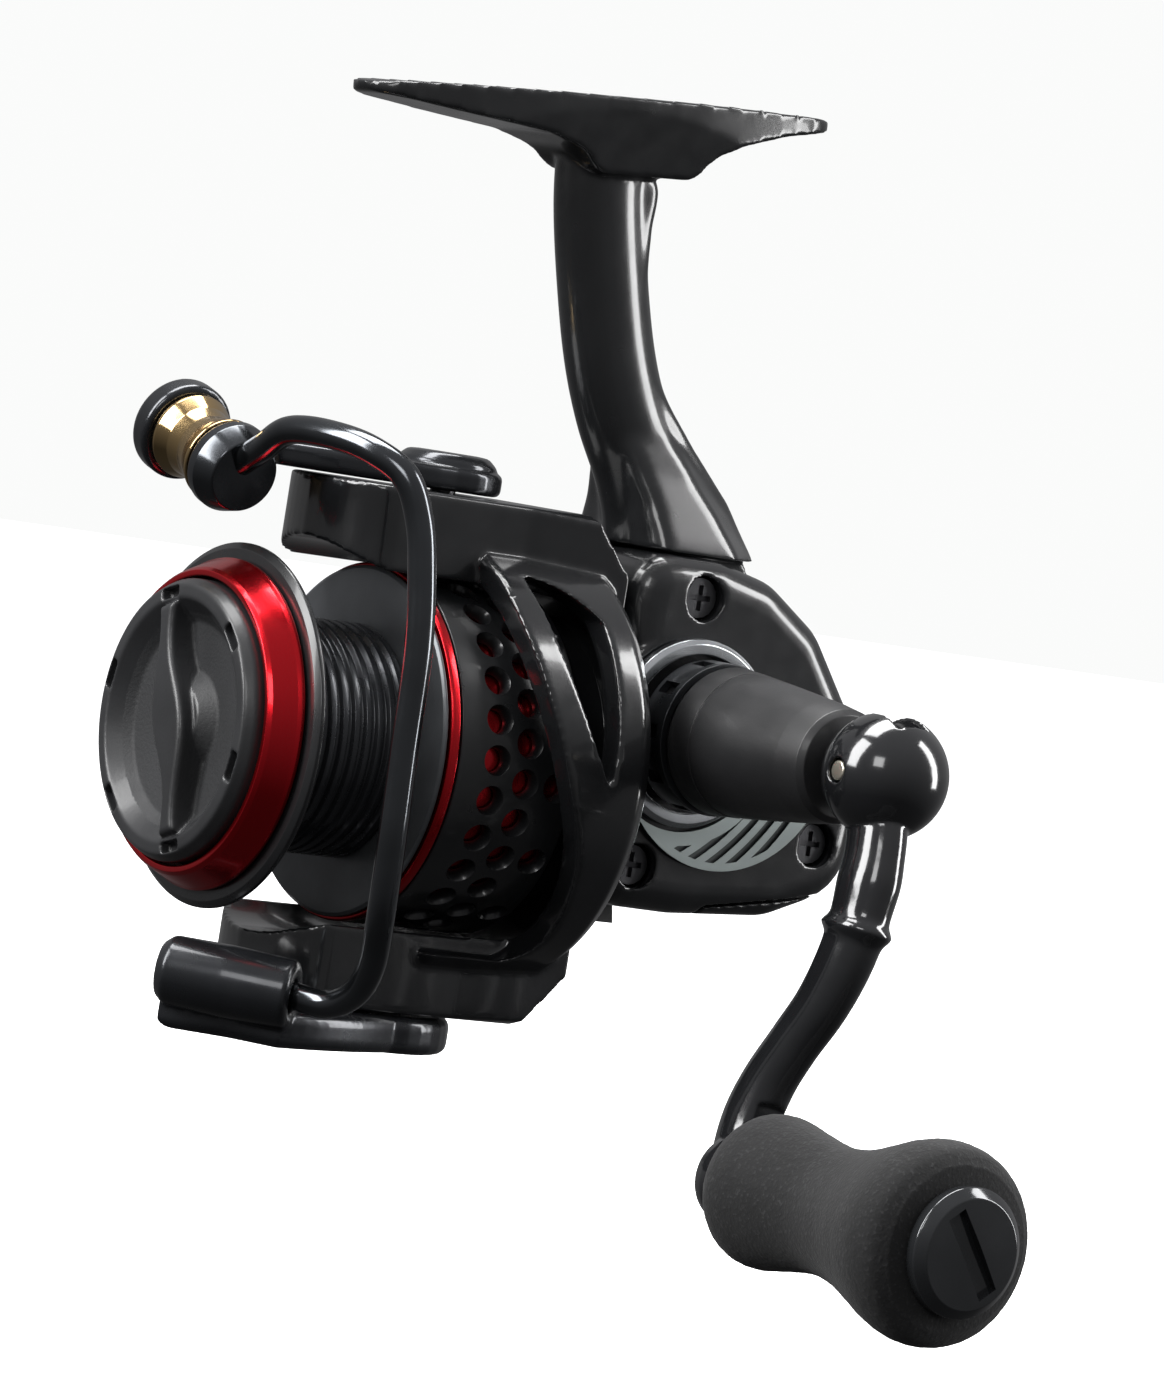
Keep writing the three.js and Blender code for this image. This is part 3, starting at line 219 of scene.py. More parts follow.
def inset(points, d):
    """An outline moved inwards by d."""
    area = sum(p[0] * q[1] - q[0] * p[1] for p, q in zip(points, points[1:] + points[:1]))
    sign = 1 if area > 0 else -1
    out = []
    for i, p in enumerate(points):
        a, b = points[i - 1], points[(i + 1) % len(points)]
        u = Vector((p[0] - a[0], p[1] - a[1])).normalized()
        w = Vector((b[0] - p[0], b[1] - p[1])).normalized()
        m = Vector((-u.y - w.y, u.x + w.x)).normalized() * sign
        k = d / max(0.3, sign * (m.x * -w.y + m.y * w.x))
        out.append((p[0] + m.x * k, p[1] + m.y * k))
    return out


def slab(axis, outline, low, high, bevel=0, steps=5):
    """An outline pulled along an axis, with round edges. Pairs are (y, z), (z, x) or (x, y)."""
    levels = []
    for k in range(steps + 1 if bevel else 1):
        t = k / steps * math.pi / 2
        levels.append((low + bevel * (1 - math.sin(t)), bevel * (1 - math.cos(t)) if bevel else 0))
    levels = levels[::-1]
    levels += [(low + high - h, d) for h, d in levels[::-1]]
    verts, faces = [], []
    n = len(outline)
    for h, d in levels:
        ring = inset(outline, d) if d else outline
        verts += [place(axis, a, b, h) for a, b in ring]
    for k in range(len(levels) - 1):
        for i in range(n):
            j = (i + 1) % n
            faces.append([k * n + i, k * n + j, (k + 1) * n + j, (k + 1) * n + i])
    faces.append(list(range(n)))
    faces.append([(len(levels) - 1) * n + i for i in range(n)][::-1])
    return build(verts, faces)


def block(x0, x1, y0, y1, z0, z1):
    return slab("z", [(x0, y0), (x1, y0), (x1, y1), (x0, y1)], z0, z1)


def spline(points, steps):
    """Points along a centripetal Catmull-Rom curve."""
    pts = [Vector(p) for p in points]
    pts = [pts[0] * 2 - pts[1]] + pts + [pts[-1] * 2 - pts[-2]]
    out = []
    for i in range(1, len(pts) - 2):
        p0, p1, p2, p3 = pts[i - 1:i + 3]
        t0 = 0
        t1 = t0 + (p1 - p0).length ** 0.5
        t2 = t1 + (p2 - p1).length ** 0.5
        t3 = t2 + (p3 - p2).length ** 0.5
        for k in range(steps):
            t = t1 + (t2 - t1) * k / steps
            a1 = p0 * ((t1 - t) / (t1 - t0)) + p1 * ((t - t0) / (t1 - t0))
            a2 = p1 * ((t2 - t) / (t2 - t1)) + p2 * ((t - t1) / (t2 - t1))
            a3 = p2 * ((t3 - t) / (t3 - t2)) + p3 * ((t - t2) / (t3 - t2))
            b1 = a1 * ((t2 - t) / (t2 - t0)) + a2 * ((t - t0) / (t2 - t0))
            b2 = a2 * ((t3 - t) / (t3 - t1)) + a3 * ((t - t1) / (t3 - t1))
            out.append(b1 * ((t2 - t) / (t2 - t1)) + b2 * ((t - t1) / (t2 - t1)))
    out.append(pts[-2].copy())
    return out


def tube(points, a, b, side=None, steps=8, n=24, sizes=None):
    """An oval section swept along a curve. a lies along side, b across it."""
    path = spline(points, steps)
    verts, faces = [], []
    normal = Vector(side) if side else (path[1] - path[0]).orthogonal()
    for i, p in enumerate(path):
        d = (path[min(i + 1, len(path) - 1)] - path[max(i - 1, 0)]).normalized()
        normal = (normal - d * normal.dot(d)).normalized()
        w = d.cross(normal)
        scale = sizes(i / (len(path) - 1)) if sizes else 1
        for k in range(n):
            t = 2 * math.pi * k / n
            verts.append(p + normal * a * scale * math.cos(t) + w * b * scale * math.sin(t))
    for i in range(len(path) - 1):
        for k in range(n):
            j = (k + 1) % n
            faces.append([i * n + k, i * n + j, (i + 1) * n + j, (i + 1) * n + k])
    faces.append(list(range(n)))
    faces.append([(len(path) - 1) * n + k for k in range(n)][::-1])
    return build(verts, faces)


def ball(r, centre, segments=64):
    arc = []
    for i in range(segments // 2 + 1):
        t = -math.pi / 2 + 2 * math.pi * i / segments
        end = i in (0, segments // 2)
        arc.append((0 if end else r * math.cos(t), r * math.sin(t)))
    return lathe("z", arc, centre, segments, 0)


HALF_TURN = Matrix(((-1, 0, 0, 0), (0, 1, 0, 0), (0, 0, -1, 2 * SPOOL_Z), (0, 0, 0, 1)))


def opposite(obj):
    """A second piece, half a turn round the spool axis."""
    mesh = obj.data.copy()
    mesh.transform(HALF_TURN)
    return wrap(mesh)


def apply(obj):
    """Puts an object's modifiers into its mesh."""
    graph = bpy.context.evaluated_depsgraph_get()
    mesh = bpy.data.meshes.new_from_object(obj.evaluated_get(graph))
    obj.modifiers.clear()
    obj.data = mesh
    return obj


def boole(kind, first, others):
    """Changes the first piece with the others, and takes the others away."""
    for other in others:
        m = first.modifiers.new("boole", "BOOLEAN")
        m.operation = kind
        m.solver = "MANIFOLD"
        m.object = other
        apply(first)
        if not first.data.vertices:
            raise RuntimeError(f"{kind} left no points")
        bpy.data.objects.remove(other)
    return first


def join(first, *others):
    return boole("UNION", first, others)


def cut(first, *others):
    return boole("DIFFERENCE", first, others)


def meet(first, *others):
    return boole("INTERSECT", first, others)


def melt(obj, voxel, rounds, keep=1.0):
    """Blends an object's corners as casting or moulding does."""
    m = obj.modifiers.new("grid", "REMESH")
    m.mode = "VOXEL"
    m.voxel_size = voxel
    m = obj.modifiers.new("soft", "SMOOTH")
    m.factor = 0.5
    m.iterations = rounds
    if keep < 1:
        m = obj.modifiers.new("fewer", "DECIMATE")
        m.ratio = keep
    return apply(obj)


def finish(obj, name, body, slot, nodes=(), angle=40, looks=None):
    """Scales a piece to metres, gives it its finish and seats it on its body."""
    obj.data.transform(Matrix.Scale(MM, 4))
    obj.name = name
    obj.data.name = name
    obj.data.materials.clear()
    for m in looks or [MATERIALS[slot]]:
        obj.data.materials.append(m)
    obj.data.shade_smooth()
    if angle:
        obj.data.set_sharp_from_angle(angle=angle * RAD)
    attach(obj, body)
    if nodes:
        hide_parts(*nodes)
    return obj


# ---- materials ----
def shade(name, color, rough, metal=0.0, coat=0.0, grain=0.0, size=900, spread=0.08, tone=0.25,
          stretch=(1, 1, 1), sheen=0.0, speck=None, coat_rough=0.08):
    """A finish with fine grain in its bump, and slow changes in its colour and roughness."""
    m = bpy.data.materials.new(name)
    m.use_nodes = True
    tree = m.node_tree
    p = tree.nodes["Principled BSDF"]
    p.inputs["Metallic"].default_value = metal
    p.inputs["Coat Weight"].default_value = coat
    p.inputs["Coat Roughness"].default_value = coat_rough
    if sheen:
        p.inputs["Sheen Weight"].default_value = sheen
        p.inputs["Sheen Roughness"].default_value = 0.5
    where = tree.nodes.new("ShaderNodeTexCoord")
    scale = tree.nodes.new("ShaderNodeMapping")
    scale.inputs["Scale"].default_value = stretch
    tree.links.new(where.outputs["Object"], scale.inputs["Vector"])

    def cloud(amount, detail):
        node = tree.nodes.new("ShaderNodeTexNoise")
        node.inputs["Scale"].default_value = amount
        node.inputs["Detail"].default_value = detail
        tree.links.new(scale.outputs["Vector"], node.inputs["Vector"])
        return node.outputs["Fac"]

    slow = cloud(70, 3)
    fine = cloud(size, 4)
    ramp = tree.nodes.new("ShaderNodeValToRGB")
    dark = [c * (1 - tone) for c in color]
    light = [min(1, c * (1 + tone)) for c in color]
    ramp.color_ramp.elements[0].position = 0.3
    ramp.color_ramp.elements[0].color = (*dark, 1)
    ramp.color_ramp.elements[1].position = 0.7
    ramp.color_ramp.elements[1].color = (*light, 1)
    tree.links.new(slow, ramp.inputs["Fac"])
    result = ramp.outputs["Color"]
    if speck:
        dots = tree.nodes.new("ShaderNodeValToRGB")
        dots.color_ramp.elements[0].position = 0.56
        dots.color_ramp.elements[0].color = (0, 0, 0, 1)
        dots.color_ramp.elements[1].position = 0.7
        dots.color_ramp.elements[1].color = (1, 1, 1, 1)
        tree.links.new(fine, dots.inputs["Fac"])
        mix = tree.nodes.new("ShaderNodeMix")
        mix.data_type = "RGBA"
        tree.links.new(dots.outputs["Color"], mix.inputs["Factor"])
        tree.links.new(result, mix.inputs["A"])
        mix.inputs["B"].default_value = (*speck, 1)
        result = mix.outputs["Result"]
    tree.links.new(result, p.inputs["Base Color"])
    span = tree.nodes.new("ShaderNodeMapRange")
    span.inputs["To Min"].default_value = max(0.02, rough - spread)
    span.inputs["To Max"].default_value = rough + spread
    tree.links.new(cloud(300, 3), span.inputs["Value"])
    tree.links.new(span.outputs["Result"], p.inputs["Roughness"])
    if grain:
        bump = tree.nodes.new("ShaderNodeBump")
        bump.inputs["Strength"].default_value = min(1, grain)
        bump.inputs["Distance"].default_value = 0.0001
        tree.links.new(fine, bump.inputs["Height"])
        tree.links.new(bump.outputs["Normal"], p.inputs["Normal"])
    return m


BLACK = (0.012, 0.0125, 0.0135)
MATERIALS = {
    "housing_black": shade("housing_black", BLACK, 0.24, 0, 0.5, 0.05, 1500),
    "rear_trim_black": shade("rear_trim_black", BLACK, 0.34, 0, 0.2, 0.1, 1800),
    "cover_ring_silver": shade("cover_ring_silver", (0.62, 0.64, 0.66), 0.22, 1, 0, 0.1, 1500),
    "badge_metal": shade("badge_metal", (0.30, 0.335, 0.33), 0.36, 0.9, 0, 0.25, 1200,
                         stretch=(1, 0.05, 1)),
    "badge_dark": shade("badge_dark", (0.03, 0.035, 0.035), 0.5, 0.3, 0, 0.1),
    "screw_steel": shade("screw_steel", (0.09, 0.09, 0.095), 0.32, 0.9, 0, 0.1, 2000),
    "bearing_steel": shade("bearing_steel", (0.55, 0.56, 0.58), 0.25, 1, 0, 0.05),
    "plate_dark": shade("plate_dark", (0.06, 0.06, 0.065), 0.4, 0.8, 0, 0.1),
    "polished_steel": shade("polished_steel", (0.62, 0.63, 0.65), 0.14, 1, 0, 0.05, 1500,
                            stretch=(1, 30, 1)),
    "gear_brass": shade("gear_brass", (0.62, 0.43, 0.16), 0.28, 1, 0, 0.15),
    "nylon_white": shade("nylon_white", (0.72, 0.71, 0.66), 0.45, 0, 0, 0.1),
    "slider_zinc": shade("slider_zinc", (0.42, 0.43, 0.45), 0.42, 0.9, 0, 0.25),
    "felt_tan": shade("felt_tan", (0.28, 0.22, 0.14), 0.95, 0, 0, 0.9, 2500, sheen=0.4),
    "boss_black": shade("boss_black", (0.016, 0.016, 0.017), 0.4, 0, 0.1, 0.12, 2200),
    "collar_dark": shade("collar_dark", (0.028, 0.03, 0.033), 0.3, 0.6, 0.2, 0.1, 1500),
    "fold_pin_silver": shade("fold_pin_silver", (0.66, 0.62, 0.52), 0.26, 0.9, 0, 0.1),
    "handle_gunmetal": shade("handle_gunmetal", (0.014, 0.0145, 0.016),
                             0.15, 0.25, 0.9, 0.03, 1300),
    "grip_foam": shade("grip_foam", (0.011, 0.011, 0.0115), 0.96, 0, 0, 1.0, 2100, 0.03, 0.35,
                       sheen=0.08, speck=(0.028, 0.028, 0.029)),
    "cap_black": shade("cap_black", (0.035, 0.037, 0.04), 0.14, 0.5, 0.6, 0.05, 1200),
    "rotor_black": shade("rotor_black", (0.0105, 0.011, 0.012), 0.2, 0, 0.6, 0.04, 1400),
    "bail_arm_gunmetal": shade("bail_arm_gunmetal", (0.035, 0.037, 0.041),
                               0.22, 0.75, 0.4, 0.05, 1300),
    "bail_wire_gunmetal": shade("bail_wire_gunmetal", (0.075, 0.08, 0.087),
                                0.16, 0.95, 0.3, 0.04, 1300),
    "bail_lever_black": shade("bail_lever_black", (0.03, 0.032, 0.036), 0.26, 0.6, 0.3, 0.06, 1300),
    "roller_gold": shade("roller_gold", (0.52, 0.36, 0.17), 0.12, 1, 0.2, 0.03, 1500),
    "anodised_red": shade("anodised_red", (0.62, 0.008, 0.016), 0.24, 0.95, 0.25, 0.12, 1400,
                          tone=0.1, stretch=(0.06, 1, 0.06)),
    "spool_black": shade("spool_black", (0.012, 0.0125, 0.0135), 0.3, 0.1, 0.35, 0.05, 1500),
    "arbor_grey": shade("arbor_grey", (0.045, 0.047, 0.052), 0.28, 0.7, 0.2, 0.06, 1500),
    "flange_grey": shade("flange_grey", (0.10, 0.105, 0.112), 0.36, 0.6, 0.1, 0.08, 1500),
    "drag_knob_black": shade("drag_knob_black", (0.022, 0.0225, 0.024), 0.36, 0, 0.12, 0.14, 2300),
    "drag_face_matte": shade("drag_face_matte", (0.02, 0.0205, 0.022), 0.62, 0, 0, 0.5, 2600),
    "lever_black": shade("lever_black", (0.02, 0.02, 0.022), 0.38, 0, 0.1, 0.1, 1800),
}

for part in frame["record"]["subparts"]:
    node = frame["nodes"][part["node"]]
    node.data.materials.clear()
    node.data.materials.append(MATERIALS[part["material_slot"]])
    node.data.shade_smooth()
    node.data.set_sharp_from_angle(angle=35 * RAD)


# ---- housing ----
OUTLINE = [
    (BODY_FRONT, BODY_LOW), (CRANK_Y + 4, BODY_LOW - 0.3), (BODY_REAR - 12, BODY_LOW + 0.6),
    (BODY_REAR - 1, BODY_LOW + 5), (BODY_REAR, CRANK_Z - 5), (BODY_REAR - 4, CRANK_Z + 5.2),
    (BODY_REAR - 11, CRANK_Z + 14.4), (BODY_REAR - 19, CRANK_Z + 19.6),
    (BODY_REAR - 27, CRANK_Z + 21.4), (BODY_FRONT, CRANK_Z + 21.4),
]
ROUND_OUTLINE = fillet(OUTLINE, 9, steps=5)
LOW_LINE = [
    (CRANK_Y + 8, BODY_LOW - 5), (BODY_REAR + 5, BODY_LOW - 5), (BODY_REAR + 5, BODY_LOW + 5.2),
    (BODY_REAR - 3, BODY_LOW + 4.2), (CRANK_Y + 8, BODY_LOW + 1.1),
]


def whole_body():
    return slab("x", ROUND_OUTLINE, -BODY_HALF, BODY_HALF, 4, 6)


def cavity(depth=2):
    return slab("x", inset(OUTLINE, depth), -BODY_HALF + depth, BODY_HALF - depth, 1.8, 2)


def low_zone(grow=0):
    return slab("x", inset(LOW_LINE, -grow) if grow else LOW_LINE, -20, 20)


def boss_space():
    return rod("x", BOSS_R + GAP, 7.3, 20, CRANK, 96)


def screw_spaces():
    return [rod("x", SCREW_HEAD_R, 10.4, 14, (0, y, z), 40) for y, z in SCREWS] + [
        rod("x", SCREW_HOLE_R, -6, 12.8, (0, y, z), 24) for y, z in SCREWS]


def tunnels():
    return [rod("y", NOSE_IN, 0.6, BODY_FRONT + 2.5, AXIS, 64),
            rod("x", GEAR_ROOM_R, 2, 7.6, CRANK, 64)]


def guide_space():
    return rod("y", 1.2 + GAP, CRANK_Y - 2, BODY_REAR - 3.4, (0, 0, SPOOL_Z - 8.8), 24)


def lever_space():
    return block(LEVER_X - 2.6, LEVER_X + 4.8, LEVER_Y - 2, LEVER_Y + 2,
                 BODY_LOW - 3, BODY_LOW + 3.2)


def half_body(x0, x1):
    return meet(whole_body(), block(x0, x1, -30, 80, -130, -20))


def foot():
    w = FOOT_HALF
    section = [
        (-0.6, w), (-9, w * 0.72), (-9, -w * 0.72), (-0.6, -w), (0.9, -w), (0.35, -w * 0.7),
        (0, -w * 0.37), (0, w * 0.37), (0.35, w * 0.7), (0.9, w),
    ]
    bar = slab("y", fillet(section, 0.5), FOOT_FRONT - 1, FOOT_REAR + 1)
    side = fillet([
        (FOOT_FRONT, 2), (FOOT_FRONT, -1.3), (FOOT_FRONT + 12, -2.9), (-9, -4.4), (-3.5, -6.2),
        (-1.2, -8.8), (13.5, -8.8), (15.5, -6), (20, -4), (FOOT_REAR - 9, -2.4),
        (FOOT_REAR, -1.2), (FOOT_REAR, 2),
    ], 8, steps=8)
    tip = w * 0.72
    plan = []
    for k in range(25):
        t = math.pi + math.pi * k / 24
        plan.append((tip * math.cos(t), FOOT_FRONT + tip + tip * math.sin(t)))
    for k in range(1, 12):
        t = k / 12
        x = tip * (1 - t) ** 2 + w * 2 * t * (1 - t) + w * t * t
        plan.append((x, (FOOT_FRONT + tip) * (1 - t) ** 2 - 12 * 2 * t * (1 - t) + 2 * t * t))
    for k in range(12):
        t = k / 12
        x = w * (1 - t) ** 2 + w * 2 * t * (1 - t) + tip * t * t
        plan.append((x, 2 * (1 - t) ** 2 + 16 * 2 * t * (1 - t) + (FOOT_REAR - tip) * t * t))
    for k in range(25):
        t = math.pi * k / 24
        plan.append((tip * math.cos(t), FOOT_REAR - tip + tip * math.sin(t)))
    plan += [(-x, y) for x, y in plan[25:48]][::-1]
    whole = meet(bar, slab("x", side, -20, 20), slab("z", plan, -12, 3))
    whole.data.transform(Matrix.Rotation(FOOT_TILT * RAD, 4, "X"))
    return whole


def stem():
    top = CRANK_Z + 24
    web = [
        (-1, -7.5), (0.4, -14), (2.6, -21.5), (5.2, -31), (7.6, -36.4), (10.6, -41.4), (13.4, -46),
        (BODY_FRONT + 3.4, top), (BODY_FRONT + 3, top - 6), (BODY_REAR - 8, CRANK_Z + 9),
        (BODY_REAR - 14.5, top - 4.5), (29.1, -46.2), (22.8, -40.3), (18.4, -35.8), (15, -32),
        (12.6, -27), (11.5, -21.5), (11, -14), (11.4, -7.5),
    ]
    rib = slab("x", fillet(web, 4, steps=3), -3.4, 3.4, 1, 3)
    front = tube([
        (0, 3.4, -6), (0, 4.2, -12), (0, 6.4, -21), (0, 9.4, -30.5), (0, 12.4, -37),
        (0, 16.4, -43.5), (0, 19, -50), (0, 19.5, -57),
    ], 4.4, 6.2, (1, 0, 0), 8, 40)
    return melt(join(rib, front, shoulder()), 0.5, 12)


def shoulder():
    """The flank that widens from the stem into the housing."""
    levels = [
        (-36, 8.5, 18.2, 3.2), (-40, 10.4, 22.4, 4.4), (-44, 12.2, 26.6, 6), (-48, 13.6, 30.5, 7.9),
        (-52, 14.2, 34, 9.8), (-55, 14.2, 36, 11), (-60, 14.2, 39, 11.8),
    ]
    verts, faces = [], []
    for z, low, high, w in levels:
        ridge = low + 0.6 * (high - low)
        right = [(w * 0.8, low), (w, low + 1.5), (w, ridge), (2.2, high)]
        verts += [(x, y, z) for x, y in right + [(-x, y) for x, y in right[::-1]]]
    for k in range(len(levels) - 1):
        for i in range(8):
            j = (i + 1) % 8
            faces.append([k * 8 + i, k * 8 + j, k * 8 + 8 + j, k * 8 + 8 + i])
    faces.append(list(range(8)))
    faces.append([(len(levels) - 1) * 8 + i for i in range(8)])
    return build(verts, faces)


def nose():
    return lathe("y", [
        (NOSE_IN, 0.6), (5.4, 0.6), (5.4, -1), (NOSE_R - 0.8, -1), (NOSE_R, -0.2),
        (NOSE_R, 7.2), (PLATE_R, 7.2), (PLATE_R, BODY_FRONT + 1), (NOSE_IN, BODY_FRONT + 1),
    ], AXIS, 96, 0.15)


def reel_frame():
    inner = -BODY_HALF + 1
    shell = cut(half_body(-30, 0), cavity())
    seat = cut(rod("x", 8, inner, -8.4, CRANK), rod("x", BEARING_HOLE_R, -20, 0, CRANK))
    parts = [seat, rod("x", 1.8, inner, -3.9, STUD, 32)]
    parts.append(block(inner, 0, CRANK_Y - 0.8, CRANK_Y + 2, SPOOL_Z - 11.2, SPOOL_Z - 6.6))
    parts += [rod("x", 2.6, inner, 0, (0, y, z), 32) for y, z in SCREWS]
    parts += [nose(), cut(stem(), cavity()), foot()]
    whole = join(shell, *parts)
    cover_side = block(0, 30, BODY_FRONT - GAP, 80, -130, CRANK_Z + 21.4 + GAP)
    cut(whole, cover_side, boss_space(), *screw_spaces(), guide_space(), lever_space(),
        low_zone(GAP), *tunnels())
    return melt(whole, 0.36, 5, 0.55)


def side_cover():
    wall = half_body(GAP, 30)
    boss = cut(rod("x", BOSS_R, 7.6, BODY_HALF, CRANK, 96),
               rod("x", BOSS_R - 2, 5, 11.5, CRANK, 64))
    posts = [rod("x", 2.6, GAP, 9, (0, y, z), 32) for y, z in SCREWS]
    posts += [meet(rod("x", 3.6, 8, BODY_HALF - 0.5, (0, y, z), 48), whole_body())
              for y, z in SCREWS]
    shell = join(cut(wall, cavity()), boss, *posts)
    cut(shell, rod("x", 8.6, 8, 20, CRANK, 64))
    join(shell, cut(rod("x", 9.4, 9, BODY_HALF, CRANK, 64),
                    rod("x", BEARING_HOLE_R, 5, 20, CRANK, 64)))
    cut(shell, *screw_spaces(), guide_space(), low_zone(GAP), *tunnels())
    return melt(shell, 0.3, 4, 0.55)


def rear_cover():
    grown = meet(whole_body(), low_zone())
    return melt(cut(grown, slab("x", inset(OUTLINE, 2.2), -11.3, 11.3, 1.8, 2)), 0.28, 4)


finish(reel_frame(), "housing_frame", "frame", "housing_black", ["reel_frame"], 0)
finish(side_cover(), "housing_cover", "frame", "housing_black", ["side_cover"], 0)
finish(rear_cover(), "housing_rear", "frame", "rear_trim_black", ["rear_cover"], 0)
finish(lathe("x", [
    (9.8, BODY_HALF + GAP), (11.7, BODY_HALF + GAP), (11.7, 15), (11.1, 15.6), (9.8, 15.6),
], CRANK), "trim_ring", "frame", "cover_ring_silver", ["cover_ring"])


def badge():
    """A crescent with curved grooves under the boss."""
    x0 = BODY_HALF + GAP
    centre = (0, CRANK_Y + 6.5, CRANK_Z - 0.4)
    disc = rod("x", 16.2, x0, x0 + 0.6, centre, 160)
    cut(disc, rod("x", 12.3, x0 - 1, x0 + 2, CRANK, 128),
        block(x0 - 1, x0 + 2, CRANK_Y - 20, CRANK_Y + 30, CRANK_Z - 2, CRANK_Z + 30))
    at = (0, CRANK_Y - 15, CRANK_Z + 12)
    for i in range(9):
        r = 25.2 + i * 1.9
        groove = cut(rod("x", r + 0.45, x0 + 0.25, x0 + 3, at, 200),
                     rod("x", r - 0.45, x0, x0 + 4, at, 200))
        inner = cut(rod("x", 15.2, x0, x0 + 4, centre, 96),
                    rod("x", 14, x0 - 1, x0 + 5, CRANK, 96))
        meet(groove, inner)
        cut(disc, groove)
    return disc


plate = badge()
finish(plate, "badge", "frame", "badge_metal", ["side_badge"], 30,
       [MATERIALS["badge_metal"], MATERIALS["badge_dark"]])
for face in plate.data.polygons:
    if BODY_HALF + GAP + 0.1 < face.center.x / MM < BODY_HALF + GAP + 0.5:
        face.material_index = 1


# ---- crank ----
finish(lathe("x", [
    (0, 20.3), (3.6, 20.3), (3.6, 16.4), (8.2, 16.4), (8.2, 21.8), (9.16, 22.6), (8.9, 26.5),
    (8.78, 26.5), (8.78, 26.9), (8.85, 26.9), (8.4, 32), (7.4, 42), (6.88, BOSS_END - 0.8),
    (6.2, BOSS_END), (0, BOSS_END),
], CRANK, 128, 0.3), "boss_cone", "crank", "boss_black")
tongue = [
    (HEAD[2] - TONGUE_HALF, BOSS_END - 1), (HEAD[2] + TONGUE_HALF, BOSS_END - 1),
    (HEAD[2] + TONGUE_HALF, HEAD[0]),
]
tongue += [(HEAD[2] + TONGUE_HALF * math.cos(k * math.pi / 24),
            HEAD[0] + TONGUE_HALF * math.sin(k * math.pi / 24)) for k in range(1, 25)]
hinge = cut(slab("y", tongue, CRANK_Y - 2, CRANK_Y + 2, 0.3, 2),
            rod("y", HINGE_HOLE_R, 10, 30, (HEAD[0], 0, HEAD[2])))
finish(hinge, "boss_tongue", "crank", "boss_black", ["handle_boss"])
collar = cut(lathe("x", [(8.5, 16.8), (9.4, 16.8), (9.4, 21.4), (8.5, 21.4)], CRANK, 128, 0.15), *[
    slab("x", [(a * math.cos(t) - b * math.sin(t) + CRANK_Y,
                a * math.sin(t) + b * math.cos(t) + CRANK_Z)
               for a, b in ((8.0, -0.9), (10, -0.9), (10, 0.9), (8.0, 0.9))], 17.6, 20.4)
    for t in (2 * math.pi * k / 10 for k in range(10))])
finish(collar, "slotted_collar", "crank", "collar_dark", ["boss_collar"])
finish(lathe("y", [(0, -7.2), (1.2, -7.2), (1.2, 7.2), (0, 7.2)], HEAD, 48, 0.3),
       "hinge_pin", "crank", "fold_pin_silver", ["fold_pin"])


# ---- handle ----
def on_arm(x, d):
    """A point at x, and d along the crank from its axis."""
    return (x, CRANK_Y + d * math.sin(CRANK_LEAN), CRANK_Z - d * math.cos(CRANK_LEAN))


def waist(t):
    """How thick the handle arm is, from its head at 0 to its eye at 1."""
    swell = 0.2 * math.exp(-((t - 0.22) / 0.06) ** 2) if t < 0.5 else 0
    bead = 0.22 * math.exp(-((t - 0.33) / 0.014) ** 2)
    return 0.98 - 0.12 * math.exp(-((t - 0.62) / 0.2) ** 2) + swell * 0.3 + bead


def handle_arm():
    head = ball(7.6, HEAD, 72)
    low, high = CRANK_Y - HINGE_ROOM, CRANK_Y + HINGE_ROOM
    hinge_room = [
        slab("y", tongue, low, high),
        rod("y", 4, low, high, (HEAD[0], 0, HEAD[2])),
        block(HEAD[0] - 12, HEAD[0], low, high, CRANK_Z - 4, CRANK_Z + 12),
        block(HEAD[0] - 12, HEAD[0] + 4, low, high, CRANK_Z, CRANK_Z + 12),
    ]
    neck = tube([
        on_arm(HEAD[0] + 0.8, 4), on_arm(HEAD[0] + 2.5, 9), on_arm(HEAD[0] + 3.3, 14),
        on_arm(HEAD[0] + 3.4, 21), on_arm(ARM_X + 5.2, 27.6), on_arm(ARM_X + 2.2, 33.4),
        on_arm(ARM_X - 0.1, 38.4), on_arm(ARM_X - 1.2, 43.6), on_arm(ARM_X - 0.4, CRANK_R + 0.4),
    ], 3.3, 4.3, (0, 1, 0), 14, 40, waist)
    eye = lathe("x", [
        (0, ARM_X - 4.2), (3.4, ARM_X - 3.6), (5.2, ARM_X - 1.6), (5.6, ARM_X), (5.6, ARM_X + 2),
        (0, ARM_X + 2),
    ], KNOB, 64, 0.8)
    arm = join(head, neck, eye)
    cut(arm, *hinge_room, rod("x", 9.7, ARM_X + 2, ARM_X + 9, KNOB),
        rod("x", 1.9, ARM_X, ARM_X + 4, KNOB, 32), rod("y", HINGE_HOLE_R, -9, 9, HEAD, 32))
    return melt(arm, 0.24, 4, 0.8)


finish(handle_arm(), "crank_arm", "handle", "handle_gunmetal", ["handle_arm"], 0)

